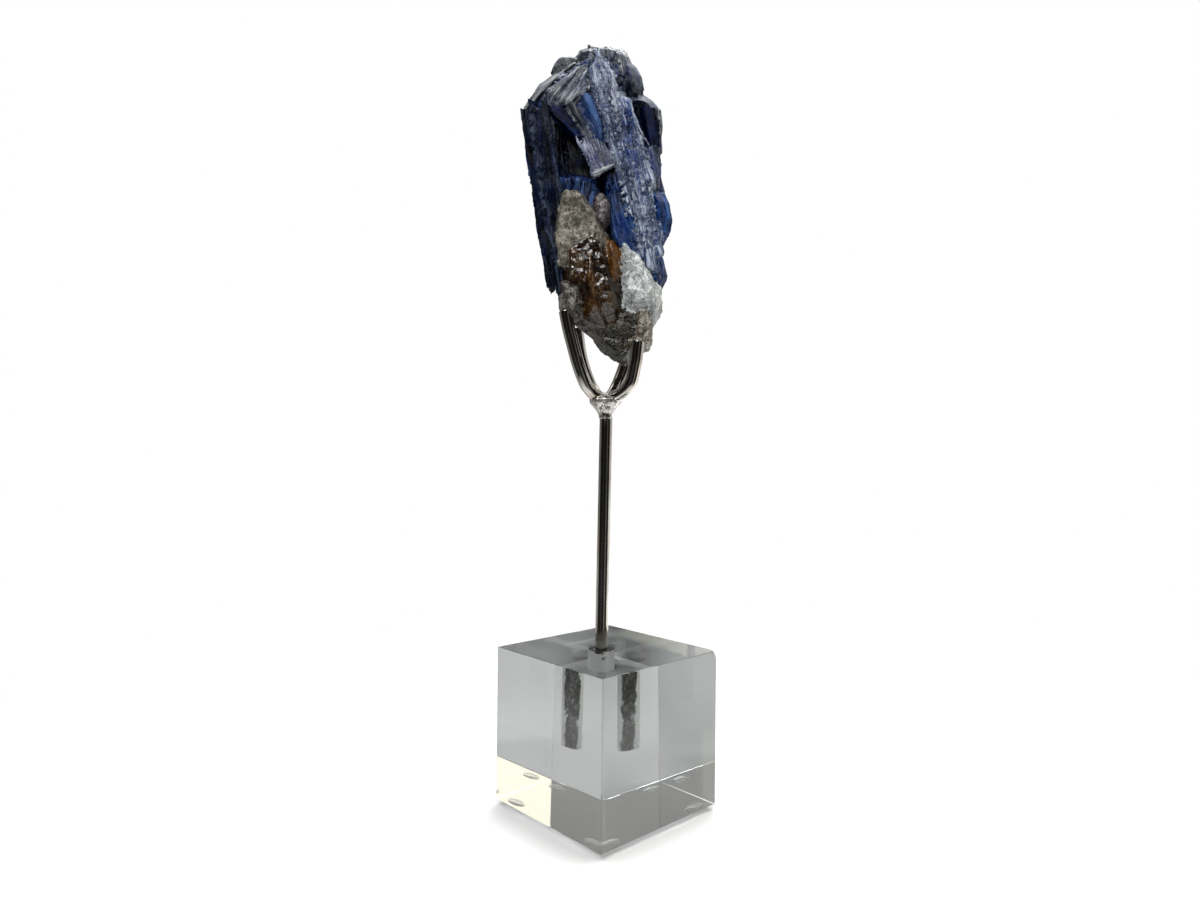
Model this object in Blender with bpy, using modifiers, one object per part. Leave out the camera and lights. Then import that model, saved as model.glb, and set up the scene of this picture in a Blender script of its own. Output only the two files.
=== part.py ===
"""Kyanite blade cluster held by a bent-wire fork on a rod, in a clear glass cube.

Metres, +Z up. The origin is the centre of the footprint on the surface the feet rest on. The
specimen and its fork are laid out in their own frame, turned 45 degrees to the cube: u runs along
the cube's diagonal, v runs back from the viewer and z is the height above the cube's underside.
"""
import math
import random

import bmesh
import bpy
from mathutils import Matrix, Vector

MM = 0.001
GAP = 0.3 * MM

BLOCK_EDGE = 50 * MM
BLOCK_WIDTH = 50.8 * MM
BLOCK_BEVEL = 0.5 * MM
FOOT_HEIGHT = 1.5 * MM
FOOT_RADIUS = 4.0 * MM
FOOT_INSET = 6.9 * MM
BLOCK_BASE = FOOT_HEIGHT + GAP

ROD_RADIUS = 2.1 * MM
ROD_FOOT = Vector((-1.7, 0, 50)) * MM
ROD_TOP = Vector((-0.9, 0, 125.4)) * MM
SLEEVE_RADIUS = 4.3 * MM
SLEEVE_LENGTH = 29 * MM
SLEEVE_FLOOR = 3 * MM
SLEEVE_CLEARANCE = 0.6 * MM

HUB_CENTRE = Vector((-0.8, 0, 130.8)) * MM
HUB_FLAT = 4.1 * MM
HUB_PROFILE = [(0, 2.4), (2.0, 2.4), (3.6, 1.7), (4.25, 0.4), (4.2, -0.8), (3.3, -2.6), (2.5, -4.2),
               (2.2, -5.1), (0, -5.1)]

SPECIMEN_TURN = math.radians(45)
WELD = 0.00002

# Centre lines of the four prongs, hub end first, as (u, v, z) in millimetres.
PRONGS = {
    "prong_front_left": [(-4.2, -2.5, 132.8), (-6.2, -3.8, 134.7), (-7.5, -4.8, 136.4),
                         (-8.9, -6.0, 139.8), (-11.2, -7.3, 147.4), (-12.8, -8.0, 153.4),
                         (-14.0, -8.4, 159.2)],
    "prong_front_right": [(2.3, -2.9, 131.9), (5.4, -5.5, 134.3), (7.2, -7.1, 137.6),
                          (8.0, -8.0, 140.8), (8.6, -8.6, 144.0), (9.2, -9.0, 149.6)],
    "prong_back_left": [(-3.9, 2.8, 132.8), (-6.4, 5.0, 136.8), (-8.6, 7.0, 142.4),
                        (-10.2, 8.4, 148.6), (-11.2, 9.2, 156.0)],
    "prong_back_right": [(1.6, 2.8, 133.3), (2.6, 4.4, 136.0), (3.6, 5.8, 138.8),
                         (4.8, 7.0, 142.2), (6.2, 8.2, 147.4), (7.2, 8.8, 152.0)],
}

# Flat-sided masses, in millimetres and degrees. The outline is the shape at mid depth as (u, z).
# Rim facets slope in from it to the front and back: slopes on the upper rim, under on the lower.
MASSES = {
    "core": dict(outline=[(-26, 226), (-18, 236.4), (-8, 243), (1, 242), (7, 235), (11, 222), (13, 203),
                          (12, 182), (6, 166), (-13, 162), (-19, 185), (-24, 210)],
                 front=-8.5, back=10.5, slopes=(24, 20), under=(50, 46)),
    "back_plate": dict(outline=[(-22, 222), (-16, 233), (-6, 240), (4, 237), (10, 226), (12, 200),
                                (9, 178), (-8, 170), (-17, 190)],
                       front=6, back=12.2, slopes=(10, 46), under=(10, 56)),
    "head": dict(outline=[(-12, 243.6), (-6.6, 246.4), (-1, 246.8), (3.2, 245.2), (5.2, 242.2),
                          (7, 233), (3, 224), (-6, 226)],
                 front=-7.0, back=7.5, slopes=(26, 24), under=(20, 20)),
    "knob_left": dict(outline=[(-20.2, 239), (-17.2, 243.4), (-13.5, 243.8), (-9.5, 243), (-11, 235)],
                      front=-3.5, back=6.5, slopes=(16, 26), under=(20, 20)),
    "knob_right": dict(outline=[(3.0, 243.8), (6.2, 242.6), (8.8, 238.8), (10.2, 234.8), (10, 231.4),
                                (6, 229), (2, 235)],
                       front=-5.0, back=5.5, slopes=(22, 30), under=(24, 20)),
    "shoulder": dict(outline=[(3, 226.9), (4, 231), (9.6, 231.6), (14.6, 228.4), (15.8, 226.2)],
                     front=-7.2, back=8, slopes=(14, 26), under=(4, 10)),
    "silver_face": dict(outline=[(-21.4, 226), (-18.2, 231), (-12, 236.0), (-7.2, 238), (-7.0, 228.4),
                                 (-14, 225.2)],
                        front=-10.6, back=-4, slopes=(18, 5), under=(8, 5)),
    "lobe": dict(outline=[(9, 199), (13.5, 201), (18.6, 196), (20.2, 191.4), (19.4, 185), (16.6, 181.6),
                          (11, 180)],
                 front=-6.6, back=5.5, slopes=(34, 30), under=(34, 30)),
    "chunk_right": dict(outline=[(11, 213.5), (15.2, 212), (16.4, 204), (15.6, 199.2), (11, 198)],
                        front=-5.5, back=5, slopes=(22, 22), under=(20, 20)),
    "pale_wedge": dict(outline=[(-17.8, 193), (-15.4, 198.6), (-9.8, 197.2), (-4, 189), (-2.4, 181),
                                (-9, 172), (-16.4, 171), (-18.2, 183)],
                       front=-11.5, back=-2, slopes=(26, 5), under=(30, 5)),
    "smoky_quartz": dict(outline=[(-12, 187.6), (-4.6, 186.4), (1.6, 177), (4.6, 166), (3.0, 154),
                                  (-8, 152.4), (-15.4, 158), (-16.4, 166), (-15.8, 176)],
                         front=-12.2, back=9.5, slopes=(30, 24), under=(60, 55)),
    "amber_lens": dict(outline=[(-2, 183), (1.6, 180.6), (3.2, 174.5), (2.4, 168), (-2, 170)],
                       front=-11.2, back=-2, slopes=(28, 5), under=(30, 5)),
    "mica_patch": dict(outline=[(-0.6, 187.8), (4, 186), (10, 180), (13.6, 173), (15.4, 167.2),
                                (15.8, 160), (11, 154), (2, 156), (1.0, 172)],
                       front=-10.6, back=8.5, slopes=(24, 22), under=(54, 50)),
    "smoky_foot": dict(outline=[(-15.8, 160.6), (-9.4, 154.2), (-6.8, 153.0), (3, 149.2), (9, 150),
                                (12, 155), (8, 168), (-14.6, 168)],
                       front=-5.0, back=6.0, slopes=(12, 14), under=(22, 26)),
    "foot_tip": dict(outline=[(-5.2, 149), (-2.9, 146.4), (3.0, 143.3), (5.6, 142.9), (8.0, 148.2),
                              (6, 158), (-6, 158)],
                     front=-4.2, back=5.2, slopes=(10, 12), under=(26, 30)),
    "knob_low": dict(outline=[(7.2, 152.5), (11.4, 150.9), (13.8, 153.4), (13.6, 157.6), (15.6, 160.4),
                              (8, 163)],
                     front=-8.2, back=5.0, slopes=(20, 20), under=(6, 20)),
    "knob_tail": dict(outline=[(6.4, 149.4), (11.4, 148.2), (13.6, 150.2), (13.8, 156), (7, 158)],
                      front=-5.2, back=4.6, slopes=(14, 20), under=(14, 20)),
    "brown_flake": dict(outline=[(-6.2, 196.4), (-3, 198.8), (-0.8, 193), (-0.9, 187), (-4.4, 187)],
                        front=-11.2, back=-4, slopes=(18, 5), under=(18, 5)),
}

# Single blades: upper and lower end on the centre line as (u, v, z), width, thickness, turn about
# the long axis, then the slant of the upper and lower end across the width, in degrees.
BLADES = {
    "ridge": ((-9.0, -4.0, 243.4), (-26.2, -5.0, 228.8), 3.2, 8, 12, 20, 30),
    "spike": ((-6.9, -2.6, 246.0), (-5.6, -2.8, 236), 2.6, 2.4, 10, 50, 20),
    "ribbon_left": ((-5.6, -8.2, 241.0), (9.4, -10.0, 182), 7.0, 5.0, 8, -30, -34),
    "ribbon_middle": ((-1.8, -7.2, 238.0), (11.8, -9.4, 187), 6.4, 4.8, -14, 40, -26),
    "ribbon_right": ((3.2, -5.8, 229.5), (11.6, -7.6, 196), 6.0, 4.6, -28, 46, 30),
    "ribbon_foot": ((7.0, -8.4, 204), (13.0, -7.8, 172), 5.2, 4.6, -12, 20, -38),
    "diagonal_lower": ((-20.0, -6.4, 225.2), (-7.6, -9.6, 212.2), 6.6, 4.4, -18, 24, -30),
    "diagonal_upper": ((-15.2, -7.0, 228.2), (-3.0, -10.2, 211.0), 4.4, 5.4, 22, 20, -28),
    "blue_wedge": ((-9.4, -8.2, 230), (-2.6, -10.0, 212), 5.2, 4.0, 16, 30, -30),
    "lip": ((-6.8, -8.8, 219.5), (-1.8, -11.0, 204.2), 7.0, 3.4, 10, 12, -16),
    "recess_floor": ((-16.0, -5.4, 221), (-7.6, -7.0, 190), 8.0, 5.0, -12, 30, -20),
    "blue_front": ((-1.6, -8.4, 207), (5.6, -8.6, 179), 8.6, 5.2, 14, 18, -30),
    "edge_right": ((14.8, -1.0, 226), (14.6, -1.6, 208), 8.0, 2.2, 82, -16, 14),
    "edge_right_back": ((12.4, 4.6, 228), (13.6, 4.0, 198), 6.4, 3.4, 62, -20, 20),
    "tail": ((13.2, -3.0, 186.5), (15.4, -2.6, 169.6), 5.2, 6.0, -20, 22, 34),
    "tail_back": ((11.4, 3.6, 188), (13.8, 3.0, 171), 5.6, 6.0, 30, 20, 30),
}

# Thin blades laid along the grain, from a seeded choice: broad ones round the sides and back, and
# narrow ones on the long front ribbon.
SMALL_BLADES = 76
SMALL_BLADE_SEED = 11
SPLINTERS = 34
SPLINTER_SEED = 5
RIBBON_TOP = Vector((-0.4, -9.4, 230))
RIBBON_FOOT = Vector((12.0, -10.2, 180))

# Blades seen edge-on down the left side: rows side by side, each of several blades front to back.
STRIP_TOP = Vector((-28.2, 0, 227.4))
STRIP_FOOT = Vector((-18.0, 0, 162))
STRIP_ROW_STEP = Vector((2.1, 0, 0.6))
STRIP_ROWS = 4
STRIP_DEPTHS = (-6.4, -1.9, 2.6, 6.2)
STRIP_SEED = 3
SMALL_BLADE_TURN = math.radians(22)
SMALL_BLADE_LOW = 178
SMALL_BLADE_HIGH = 232
GRAIN_LEFT = math.radians(9.4)
GRAIN_RIGHT = math.radians(15)


def clear_scene():
    for thing in list(bpy.data.objects):
        bpy.data.objects.remove(thing, do_unlink=True)


def make_collection(name):
    collection = bpy.data.collections.new(name)
    bpy.context.scene.collection.children.link(collection)
    return collection


def make_material(name, colour, roughness, metallic=0.0, transmission=0.0):
    material = bpy.data.materials.new(name)
    material.use_nodes = True
    shader = material.node_tree.nodes["Principled BSDF"]
    shader.inputs["Base Color"].default_value = (*colour, 1)
    shader.inputs["Roughness"].default_value = roughness
    shader.inputs["Metallic"].default_value = metallic
    shader.inputs["Transmission Weight"].default_value = transmission
    material.diffuse_color = (*colour, 1)
    return material


def make_object(name, mesh, collection, material=None, parent=None):
    made = bpy.data.objects.new(name, mesh)
    collection.objects.link(made)
    made.parent = parent
    if material:
        mesh.materials.append(material)
    return made


def mesh_from(name, shape):
    mesh = bpy.data.meshes.new(name)
    shape.to_mesh(mesh)
    shape.free()
    return mesh


def cut(shape, point, normal):
    """Slice a convex shape, drop what lies beyond the plane and close the slice."""
    everything = shape.verts[:] + shape.edges[:] + shape.faces[:]
    sliced = bmesh.ops.bisect_plane(shape, geom=everything, dist=WELD, plane_co=point,
                                    plane_no=normal, clear_outer=True)
    rim = [part for part in sliced["geom_cut"] if isinstance(part, bmesh.types.BMEdge)]
    if rim:
        bmesh.ops.contextual_create(shape, geom=rim)


def cylinder(radius, height, sides, top_radius=None):
    """An upright cylinder or cone whose base is at z = 0."""
    shape = bmesh.new()
    upper = radius if top_radius is None else top_radius
    bmesh.ops.create_cone(shape, cap_ends=True, segments=sides, radius1=radius, radius2=upper,
                          depth=height, matrix=Matrix.Translation((0, 0, height / 2)))
    return shape


def boolean(target, operand, operation):
    modifier = target.modifiers.new(operation.title(), "BOOLEAN")
    modifier.solver = "EXACT"
    modifier.operation = operation
    modifier.object = operand


def bake(target):
    """Replace an object's mesh with what its modifiers make of it."""
    depsgraph = bpy.context.evaluated_depsgraph_get()
    mesh = bpy.data.meshes.new_from_object(target.evaluated_get(depsgraph))
    target.modifiers.clear()
    target.data = mesh


def as_cutter(thing):
    thing.hide_render = True
    thing.display_type = "WIRE"
    return thing


# Stand


def build_block(collection, cutters, glass, frame):
    shape = bmesh.new()
    bmesh.ops.create_cube(shape, size=1, matrix=Matrix.Diagonal((BLOCK_WIDTH, BLOCK_WIDTH, BLOCK_EDGE, 1)))
    block = make_object("glass_block", mesh_from("glass_block", shape), collection, glass)
    block.location.z = BLOCK_BASE + BLOCK_EDGE / 2
    bevel = block.modifiers.new("Edges", "BEVEL")
    bevel.width = BLOCK_BEVEL
    bevel.segments = 2
    depth = SLEEVE_LENGTH + GAP
    bore = cylinder(SLEEVE_RADIUS + GAP, depth + BLOCK_EDGE, 40)
    hole = as_cutter(make_object("bore_cutter", mesh_from("bore_cutter", bore), cutters,
                                 parent=frame))
    hole.location = (ROD_FOOT.x, 0, BLOCK_EDGE - depth)
    boolean(block, hole, "DIFFERENCE")


def build_feet(collection, rubber):
    reach = BLOCK_WIDTH / 2 - FOOT_INSET
    places = {"foot_front": (1, -1), "foot_left": (-1, -1), "foot_right": (1, 1),
              "foot_back": (-1, 1)}
    for name, (side_x, side_y) in places.items():
        shape = cylinder(FOOT_RADIUS * 0.86, FOOT_HEIGHT, 28, FOOT_RADIUS)
        foot = make_object(name, mesh_from(name, shape), collection, rubber)
        foot.location = (side_x * reach, side_y * reach, 0)


def build_sleeve(collection, cutters, metal, frame):
    shape = cylinder(SLEEVE_RADIUS, SLEEVE_LENGTH, 40)
    sleeve = make_object("socket_sleeve", mesh_from("socket_sleeve", shape), collection, metal,
                         frame)
    sleeve.location = (ROD_FOOT.x, 0, BLOCK_EDGE - SLEEVE_LENGTH)
    bore = cylinder(ROD_RADIUS + SLEEVE_CLEARANCE, SLEEVE_LENGTH, 32)
    hole = as_cutter(make_object("sleeve_cutter", mesh_from("sleeve_cutter", bore), cutters,
                                 parent=frame))
    hole.location = (ROD_FOOT.x, 0, BLOCK_EDGE - SLEEVE_LENGTH + SLEEVE_FLOOR)
    boolean(sleeve, hole, "DIFFERENCE")


def build_post(collection, metal, frame):
    lean = ROD_TOP - ROD_FOOT
    lean.normalize()
    base = ROD_FOOT - lean * (SLEEVE_LENGTH - SLEEVE_FLOOR - GAP)
    shape = cylinder(ROD_RADIUS, (ROD_TOP - base).length, 28)
    post = make_object("post", mesh_from("post", shape), collection, metal, frame)
    post.location = base
    post.rotation_euler = lean.to_track_quat("Z", "Y").to_euler()


def smooth_path(points, steps):
    """Points read from a smooth curve through the given ones, steps to a span."""
    ends = [points[0] * 2 - points[1], *points, points[-1] * 2 - points[-2]]
    path = []
    for before, start, end, after in zip(ends, ends[1:], ends[2:], ends[3:]):
        for step in range(steps):
            t = step / steps
            path.append((start * 2 + (end - before) * t
                         + (before * 2 - start * 5 + end * 4 - after) * t ** 2
                         + (start * 3 - before - end * 3 + after) * t ** 3) / 2)
    return [*path, points[-1]]


def build_prong(name, points, collection, metal, frame):
    curve = bpy.data.curves.new(name, "CURVE")
    curve.dimensions = "3D"
    curve.bevel_depth = ROD_RADIUS
    curve.bevel_resolution = 3
    curve.use_fill_caps = True
    path = smooth_path([Vector(point) * MM for point in points], 4)
    spline = curve.splines.new("POLY")
    spline.points.add(len(path) - 1)
    for spot, place in zip(spline.points, path):
        spot.co = (*place, 1)
    make_object(name, curve, collection, metal, frame)


def build_hub(collection, cutters, metal, frame):
    shape = bmesh.new()
    rim = [shape.verts.new((across * MM, 0, height * MM)) for across, height in HUB_PROFILE]
    for upper, lower in zip(rim, rim[1:]):
        shape.edges.new((upper, lower))
    hub = make_object("fork_hub", mesh_from("fork_hub", shape), collection, metal, frame)
    hub.location = HUB_CENTRE
    screw = hub.modifiers.new("Turn", "SCREW")
    screw.steps = screw.render_steps = 28
    screw.use_merge_vertices = True
    screw.merge_threshold = WELD
    for name, points in PRONGS.items():
        outward = (Vector(points[0]) * MM - HUB_CENTRE).normalized()
        shape = bmesh.new()
        bmesh.ops.create_cube(shape, size=BLOCK_EDGE / 4)
        flat = as_cutter(make_object(name + "_seat", mesh_from(name + "_seat", shape), cutters,
                                     parent=frame))
        flat.location = HUB_CENTRE + outward * (HUB_FLAT + BLOCK_EDGE / 8)
        flat.rotation_euler = outward.to_track_quat("Z", "Y").to_euler()
        boolean(hub, flat, "DIFFERENCE")


# Specimen


def mass_shape(outline, front, back, slopes, under):
    """A convex lump: its outline at mid depth, with rim facets sloping to the front and back."""
    middle = (front + back) / 2
    shape = bmesh.new()
    bmesh.ops.create_cube(shape, size=400 * MM, matrix=Matrix.Translation(Vector((0, 0, 200)) * MM))
    cut(shape, Vector((0, front, 0)) * MM, Vector((0, -1, 0)))
    cut(shape, Vector((0, back, 0)) * MM, Vector((0, 1, 0)))
    centre = sum((Vector((u, 0, z)) for u, z in outline), Vector()) / len(outline)
    for (u, z), (next_u, next_z) in zip(outline, [*outline[1:], outline[0]]):
        outward = Vector((z - next_z, 0, next_u - u)).normalized()
        if outward.dot(Vector((u, 0, z)) - centre) < 0:
            outward.negate()
        for slope, side in zip(under if outward.z < -0.5 else slopes, (-1, 1)):
            tilt = math.radians(slope)
            normal = outward * math.cos(tilt) + Vector((0, side, 0)) * math.sin(tilt)
            cut(shape, Vector((u, middle, z)) * MM, normal)
    return shape


def blade_shape(upper, lower, width, thickness, turn, upper_slant, lower_slant, bevel):
    """A flat blade between two points, with slanting ends and one long edge bevelled away."""
    along = (upper - lower).normalized()
    across = Vector((0, 1, 0)).cross(along).normalized()
    axes = Matrix((across, along.cross(across), along)).transposed().to_4x4()
    place = Matrix.Translation((upper + lower) / 2) @ axes @ Matrix.Rotation(turn, 4, "Z")
    half = (upper - lower).length / 2
    shape = bmesh.new()
    size = Matrix.Diagonal((width, thickness, 2 * half + 4 * width, 1))
    bmesh.ops.create_cube(shape, size=1, matrix=size)
    for side, slant in ((1, upper_slant), (-1, lower_slant)):
        cut(shape, Vector((0, 0, side * half)),
            Vector((math.sin(slant), -0.35, side * math.cos(slant))).normalized())
    cut(shape, Vector((width * 0.5, -thickness * bevel, 0)), Vector((0.5, -0.8, 0)).normalized())
    cut(shape, Vector((-width * 0.5, -thickness * (0.5 - bevel), 0)),
        Vector((-0.6, -0.7, 0)).normalized())
    bmesh.ops.transform(shape, matrix=place, verts=shape.verts)
    return shape


def roof(u):
    """Height of the cluster's outline over a place across it, in millimetres."""
    return 245 - max(0, -9 - u) * 0.95 - max(0, u + 1) * 1.2


def small_blades():
    """Thin blades along the grain, round the sides and back of the cluster."""
    chance = random.Random(SMALL_BLADE_SEED)
    for _ in range(SMALL_BLADES):
        around = chance.uniform(-0.1, 1.1) * math.pi
        height = chance.uniform(SMALL_BLADE_LOW, SMALL_BLADE_HIGH)
        share = (height - SMALL_BLADE_LOW) / (SMALL_BLADE_HIGH - SMALL_BLADE_LOW)
        reach = Vector((14.2 + 4.5 * share, 12.0))
        u = -3.6 - 2.4 * share + reach.x * math.cos(around)
        v = reach.y * math.sin(around)
        lean = GRAIN_LEFT + (GRAIN_RIGHT - GRAIN_LEFT) * (u + 25) / 40
        half = chance.uniform(9, 19)
        middle = Vector((u, v, min(height, roof(u) - 4 - half)))
        run = Vector((-math.sin(lean), 0, math.cos(lean))) * half
        facing = math.atan2(reach.x * math.sin(around), reach.y * math.cos(around)) + math.pi / 2
        turn = facing + chance.uniform(-SMALL_BLADE_TURN, SMALL_BLADE_TURN)
        slants = [math.radians(chance.uniform(-50, 50)) for end in range(2)]
        yield blade_shape((middle + run) * MM, (middle - run) * MM, chance.uniform(4.5, 8) * MM,
                          chance.uniform(2.2, 3.8) * MM, turn, *slants, chance.uniform(0.05, 0.4))


def strips():
    """The bundle of thin blades down the left side, seen edge-on from the front."""
    chance = random.Random(STRIP_SEED)
    for row in range(STRIP_ROWS):
        for depth in STRIP_DEPTHS:
            offset = STRIP_ROW_STEP * row + Vector((chance.uniform(-0.5, 0.5), depth, 0))
            offset.x += 0.05 * abs(depth) ** 1.4
            upper = STRIP_TOP + offset - Vector((-0.16, 0, 1)) * chance.uniform(0, 5)
            lower = STRIP_FOOT + offset + Vector((-0.16, 0, 1)) * chance.uniform(0, 14)
            turn = math.radians(82 + chance.uniform(-14, 14))
            slants = [math.radians(chance.uniform(-36, 36)) for end in range(2)]
            yield blade_shape(upper * MM, lower * MM, chance.uniform(5.6, 7.2) * MM,
                              chance.uniform(2.0, 3.0) * MM, turn, *slants, chance.uniform(0.1, 0.4))


def splinters():
    """Narrow blades along the long ribbon that crosses the front."""
    chance = random.Random(SPLINTER_SEED)
    run = (RIBBON_TOP - RIBBON_FOOT).normalized()
    for _ in range(SPLINTERS):
        share = chance.uniform(0.05, 0.95)
        half = chance.uniform(5, 13)
        middle = RIBBON_FOOT.lerp(RIBBON_TOP, share)
        middle.x += chance.uniform(-1, 1) * (6.5 - 3.2 * share)
        middle.y += abs(middle.x - RIBBON_FOOT.lerp(RIBBON_TOP, share).x) * 0.24 + chance.uniform(0, 0.8)
        turn, *slants = (math.radians(chance.uniform(-reach, reach)) for reach in (24, 60, 60))
        yield blade_shape((middle + run * half) * MM, (middle - run * half) * MM,
                          chance.uniform(1.3, 3.2) * MM, chance.uniform(1.6, 2.6) * MM, turn,
                          *slants, chance.uniform(0.05, 0.4))


def keep_outside(mesh):
    """Drop the small closed voids that blades leave between them."""
    shape = bmesh.new()
    shape.from_mesh(mesh)
    waiting = set(shape.verts)
    shells = []
    while waiting:
        shell = [waiting.pop()]
        for vertex in shell:
            near = {edge.other_vert(vertex) for edge in vertex.link_edges} & waiting
            waiting -= near
            shell.extend(near)
        shells.append(shell)
    shells.sort(key=len)
    for shell in shells[:-1]:
        bmesh.ops.delete(shape, geom=shell, context="VERTS")
    shape.to_mesh(mesh)
    shape.free()


def build_specimen(collection, stone, frame):
    shapes = [mass_shape(**numbers) for numbers in MASSES.values()]
    for order, (upper, lower, width, thickness, *angles) in enumerate(BLADES.values()):
        turn, upper_slant, lower_slant = (math.radians(angle) for angle in angles)
        shapes.append(blade_shape(Vector(upper) * MM, Vector(lower) * MM, width * MM,
                                  thickness * MM, turn, upper_slant, lower_slant,
                                  0.1 + 0.06 * (order % 5)))
    for bundle in (strips(), small_blades(), splinters()):
        shapes.extend(bundle)
    cluster = make_object("kyanite_cluster", mesh_from("kyanite_cluster", shapes[0]), collection,
                          stone, frame)
    for shape in shapes[1:]:
        lump = make_object("lump", mesh_from("lump", shape), collection, parent=frame)
        boolean(cluster, lump, "UNION")
        bake(cluster)
        bpy.data.objects.remove(lump, do_unlink=True)
    keep_outside(cluster.data)


def main():
    clear_scene()
    parts = make_collection("kyanite_blade_cluster")
    cutters = make_collection("cutters")
    frame = bpy.data.objects.new("specimen_frame", None)
    parts.objects.link(frame)
    frame.location.z = BLOCK_BASE
    frame.rotation_euler.z = SPECIMEN_TURN

    kyanite = make_material("kyanite", (0.10, 0.14, 0.26), 0.35)
    nickel = make_material("dark_nickel", (0.20, 0.19, 0.18), 0.18, metallic=1.0)
    sleeve_metal = make_material("sleeve_metal", (0.34, 0.34, 0.33), 0.35, metallic=1.0)
    glass = make_material("clear_glass", (0.93, 0.95, 0.95), 0.02, transmission=1.0)
    silicone = make_material("clear_silicone", (0.86, 0.87, 0.86), 0.25, transmission=0.8)

    build_block(parts, cutters, glass, frame)
    build_feet(parts, silicone)
    build_sleeve(parts, cutters, sleeve_metal, frame)
    build_post(parts, nickel, frame)
    build_hub(parts, cutters, nickel, frame)
    for name, points in PRONGS.items():
        build_prong(name, points, parts, nickel, frame)
    build_specimen(parts, kyanite, frame)


main()
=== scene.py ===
import math
import random

import bmesh
import bpy
import numpy as np
from mathutils import Matrix, Vector, noise
from mathutils.bvhtree import BVHTree


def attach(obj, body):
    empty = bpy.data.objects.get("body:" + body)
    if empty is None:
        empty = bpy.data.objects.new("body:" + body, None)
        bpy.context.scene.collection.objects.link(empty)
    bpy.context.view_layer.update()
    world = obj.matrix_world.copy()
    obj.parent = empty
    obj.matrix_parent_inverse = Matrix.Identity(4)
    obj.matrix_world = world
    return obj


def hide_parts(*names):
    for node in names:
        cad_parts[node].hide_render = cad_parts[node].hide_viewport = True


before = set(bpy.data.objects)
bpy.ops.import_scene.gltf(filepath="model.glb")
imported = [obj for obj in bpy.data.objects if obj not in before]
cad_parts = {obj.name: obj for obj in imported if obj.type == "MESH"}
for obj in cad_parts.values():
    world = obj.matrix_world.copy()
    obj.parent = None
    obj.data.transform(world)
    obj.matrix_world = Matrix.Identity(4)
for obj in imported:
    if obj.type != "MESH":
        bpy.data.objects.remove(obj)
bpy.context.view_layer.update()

mm = 0.001

# The specimen and its fork are laid out in their own frame: u runs right, v runs back and z is the
# height above the cube's underside. standPlace turns that frame to the cube's.
stand = dict(turn=math.radians(45), lift=1.8 * mm)
standPlace = Matrix.Translation((0, 0, stand["lift"])) @ Matrix.Rotation(stand["turn"], 4, "Z")

# ---- helpers for modelling


def pickOnly(*things):
    bpy.ops.object.select_all(action="DESELECT")
    for thing in things:
        thing.select_set(True)
    bpy.context.view_layer.objects.active = things[0]


def openMesh(thing, kind="FACE"):
    pickOnly(thing)
    bpy.ops.object.mode_set(mode="EDIT")
    bpy.ops.mesh.select_mode(type=kind)
    bpy.ops.mesh.select_all(action="DESELECT")


def closeMesh():
    bpy.ops.object.mode_set(mode="OBJECT")


def pickFaces(thing, test):
    shape = bmesh.from_edit_mesh(thing.data)
    for face in shape.faces:
        face.select_set(bool(test(face)))
    bmesh.update_edit_mesh(thing.data)


def pickVertices(thing, test):
    mesh = bmesh.from_edit_mesh(thing.data)
    for vertex in mesh.verts:
        vertex.select = bool(test(vertex))
    mesh.select_flush_mode()
    bmesh.update_edit_mesh(thing.data)


def pickEdges(thing, test):
    shape = bmesh.from_edit_mesh(thing.data)
    for edge in shape.edges:
        edge.select_set(bool(test(edge)))
    bmesh.update_edit_mesh(thing.data)


def sliceMesh(point, normal, cutAway=False):
    bpy.ops.mesh.select_all(action="SELECT")
    bpy.ops.mesh.bisect(plane_co=point, plane_no=normal, use_fill=cutAway, clear_outer=cutAway,
                        threshold=1e-6)


def applyAll(thing):
    pickOnly(thing)
    for modifier in list(thing.modifiers):
        bpy.ops.object.modifier_apply(modifier=modifier.name)


def smoothBy(thing, degrees):
    pickOnly(thing)
    bpy.ops.object.shade_smooth_by_angle(angle=math.radians(degrees))


def newest(name):
    made = bpy.context.active_object
    made.name = made.data.name = name
    return made


def joinAs(name, things):
    pickOnly(*things)
    if len(things) > 1:
        bpy.ops.object.join()
    return newest(name)


def finishPiece(thing, slot, *nodes, place=None):
    pickOnly(thing)
    bpy.ops.object.transform_apply(location=True, rotation=True, scale=True)
    if place is not None:
        thing.data.transform(place)
    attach(thing, "root")
    if nodes:
        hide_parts(*nodes)
    return thing


# ---- helpers for materials


def ink(code):
    levels = [int(code[i:i + 2], 16) / 255 for i in (1, 3, 5)]
    return (*[c / 12.92 if c <= 0.04045 else ((c + 0.055) / 1.055) ** 2.4 for c in levels], 1)


def addNode(tree, kind, inputs=None, **settings):
    made = tree.nodes.new(kind)
    for name, value in settings.items():
        setattr(made, name, value)
    for name, value in (inputs or {}).items():
        socket = made.inputs[name]
        if isinstance(value, bpy.types.NodeSocket):
            tree.links.new(value, socket)
        else:
            socket.default_value = value
    return made


def sums(tree, operation, first, second=0.5, clamp=False):
    return addNode(tree, "ShaderNodeMath", {0: first, 1: second}, operation=operation,
                   use_clamp=clamp).outputs[0]


def mixColour(tree, factor, first, second, mode="MIX"):
    made = addNode(tree, "ShaderNodeMix", {0: factor, 6: first, 7: second}, data_type="RGBA",
                   blend_type=mode)
    return made.outputs[2]


def ramp(tree, value, stops):
    made = addNode(tree, "ShaderNodeValToRGB", {0: value})
    band = made.color_ramp
    while len(band.elements) < len(stops):
        band.elements.new(0.5)
    for element, (position, colour) in zip(band.elements, stops):
        element.position = position
        element.color = colour if not isinstance(colour, (int, float)) else (colour,) * 3 + (1,)
    return made.outputs[0]


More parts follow.
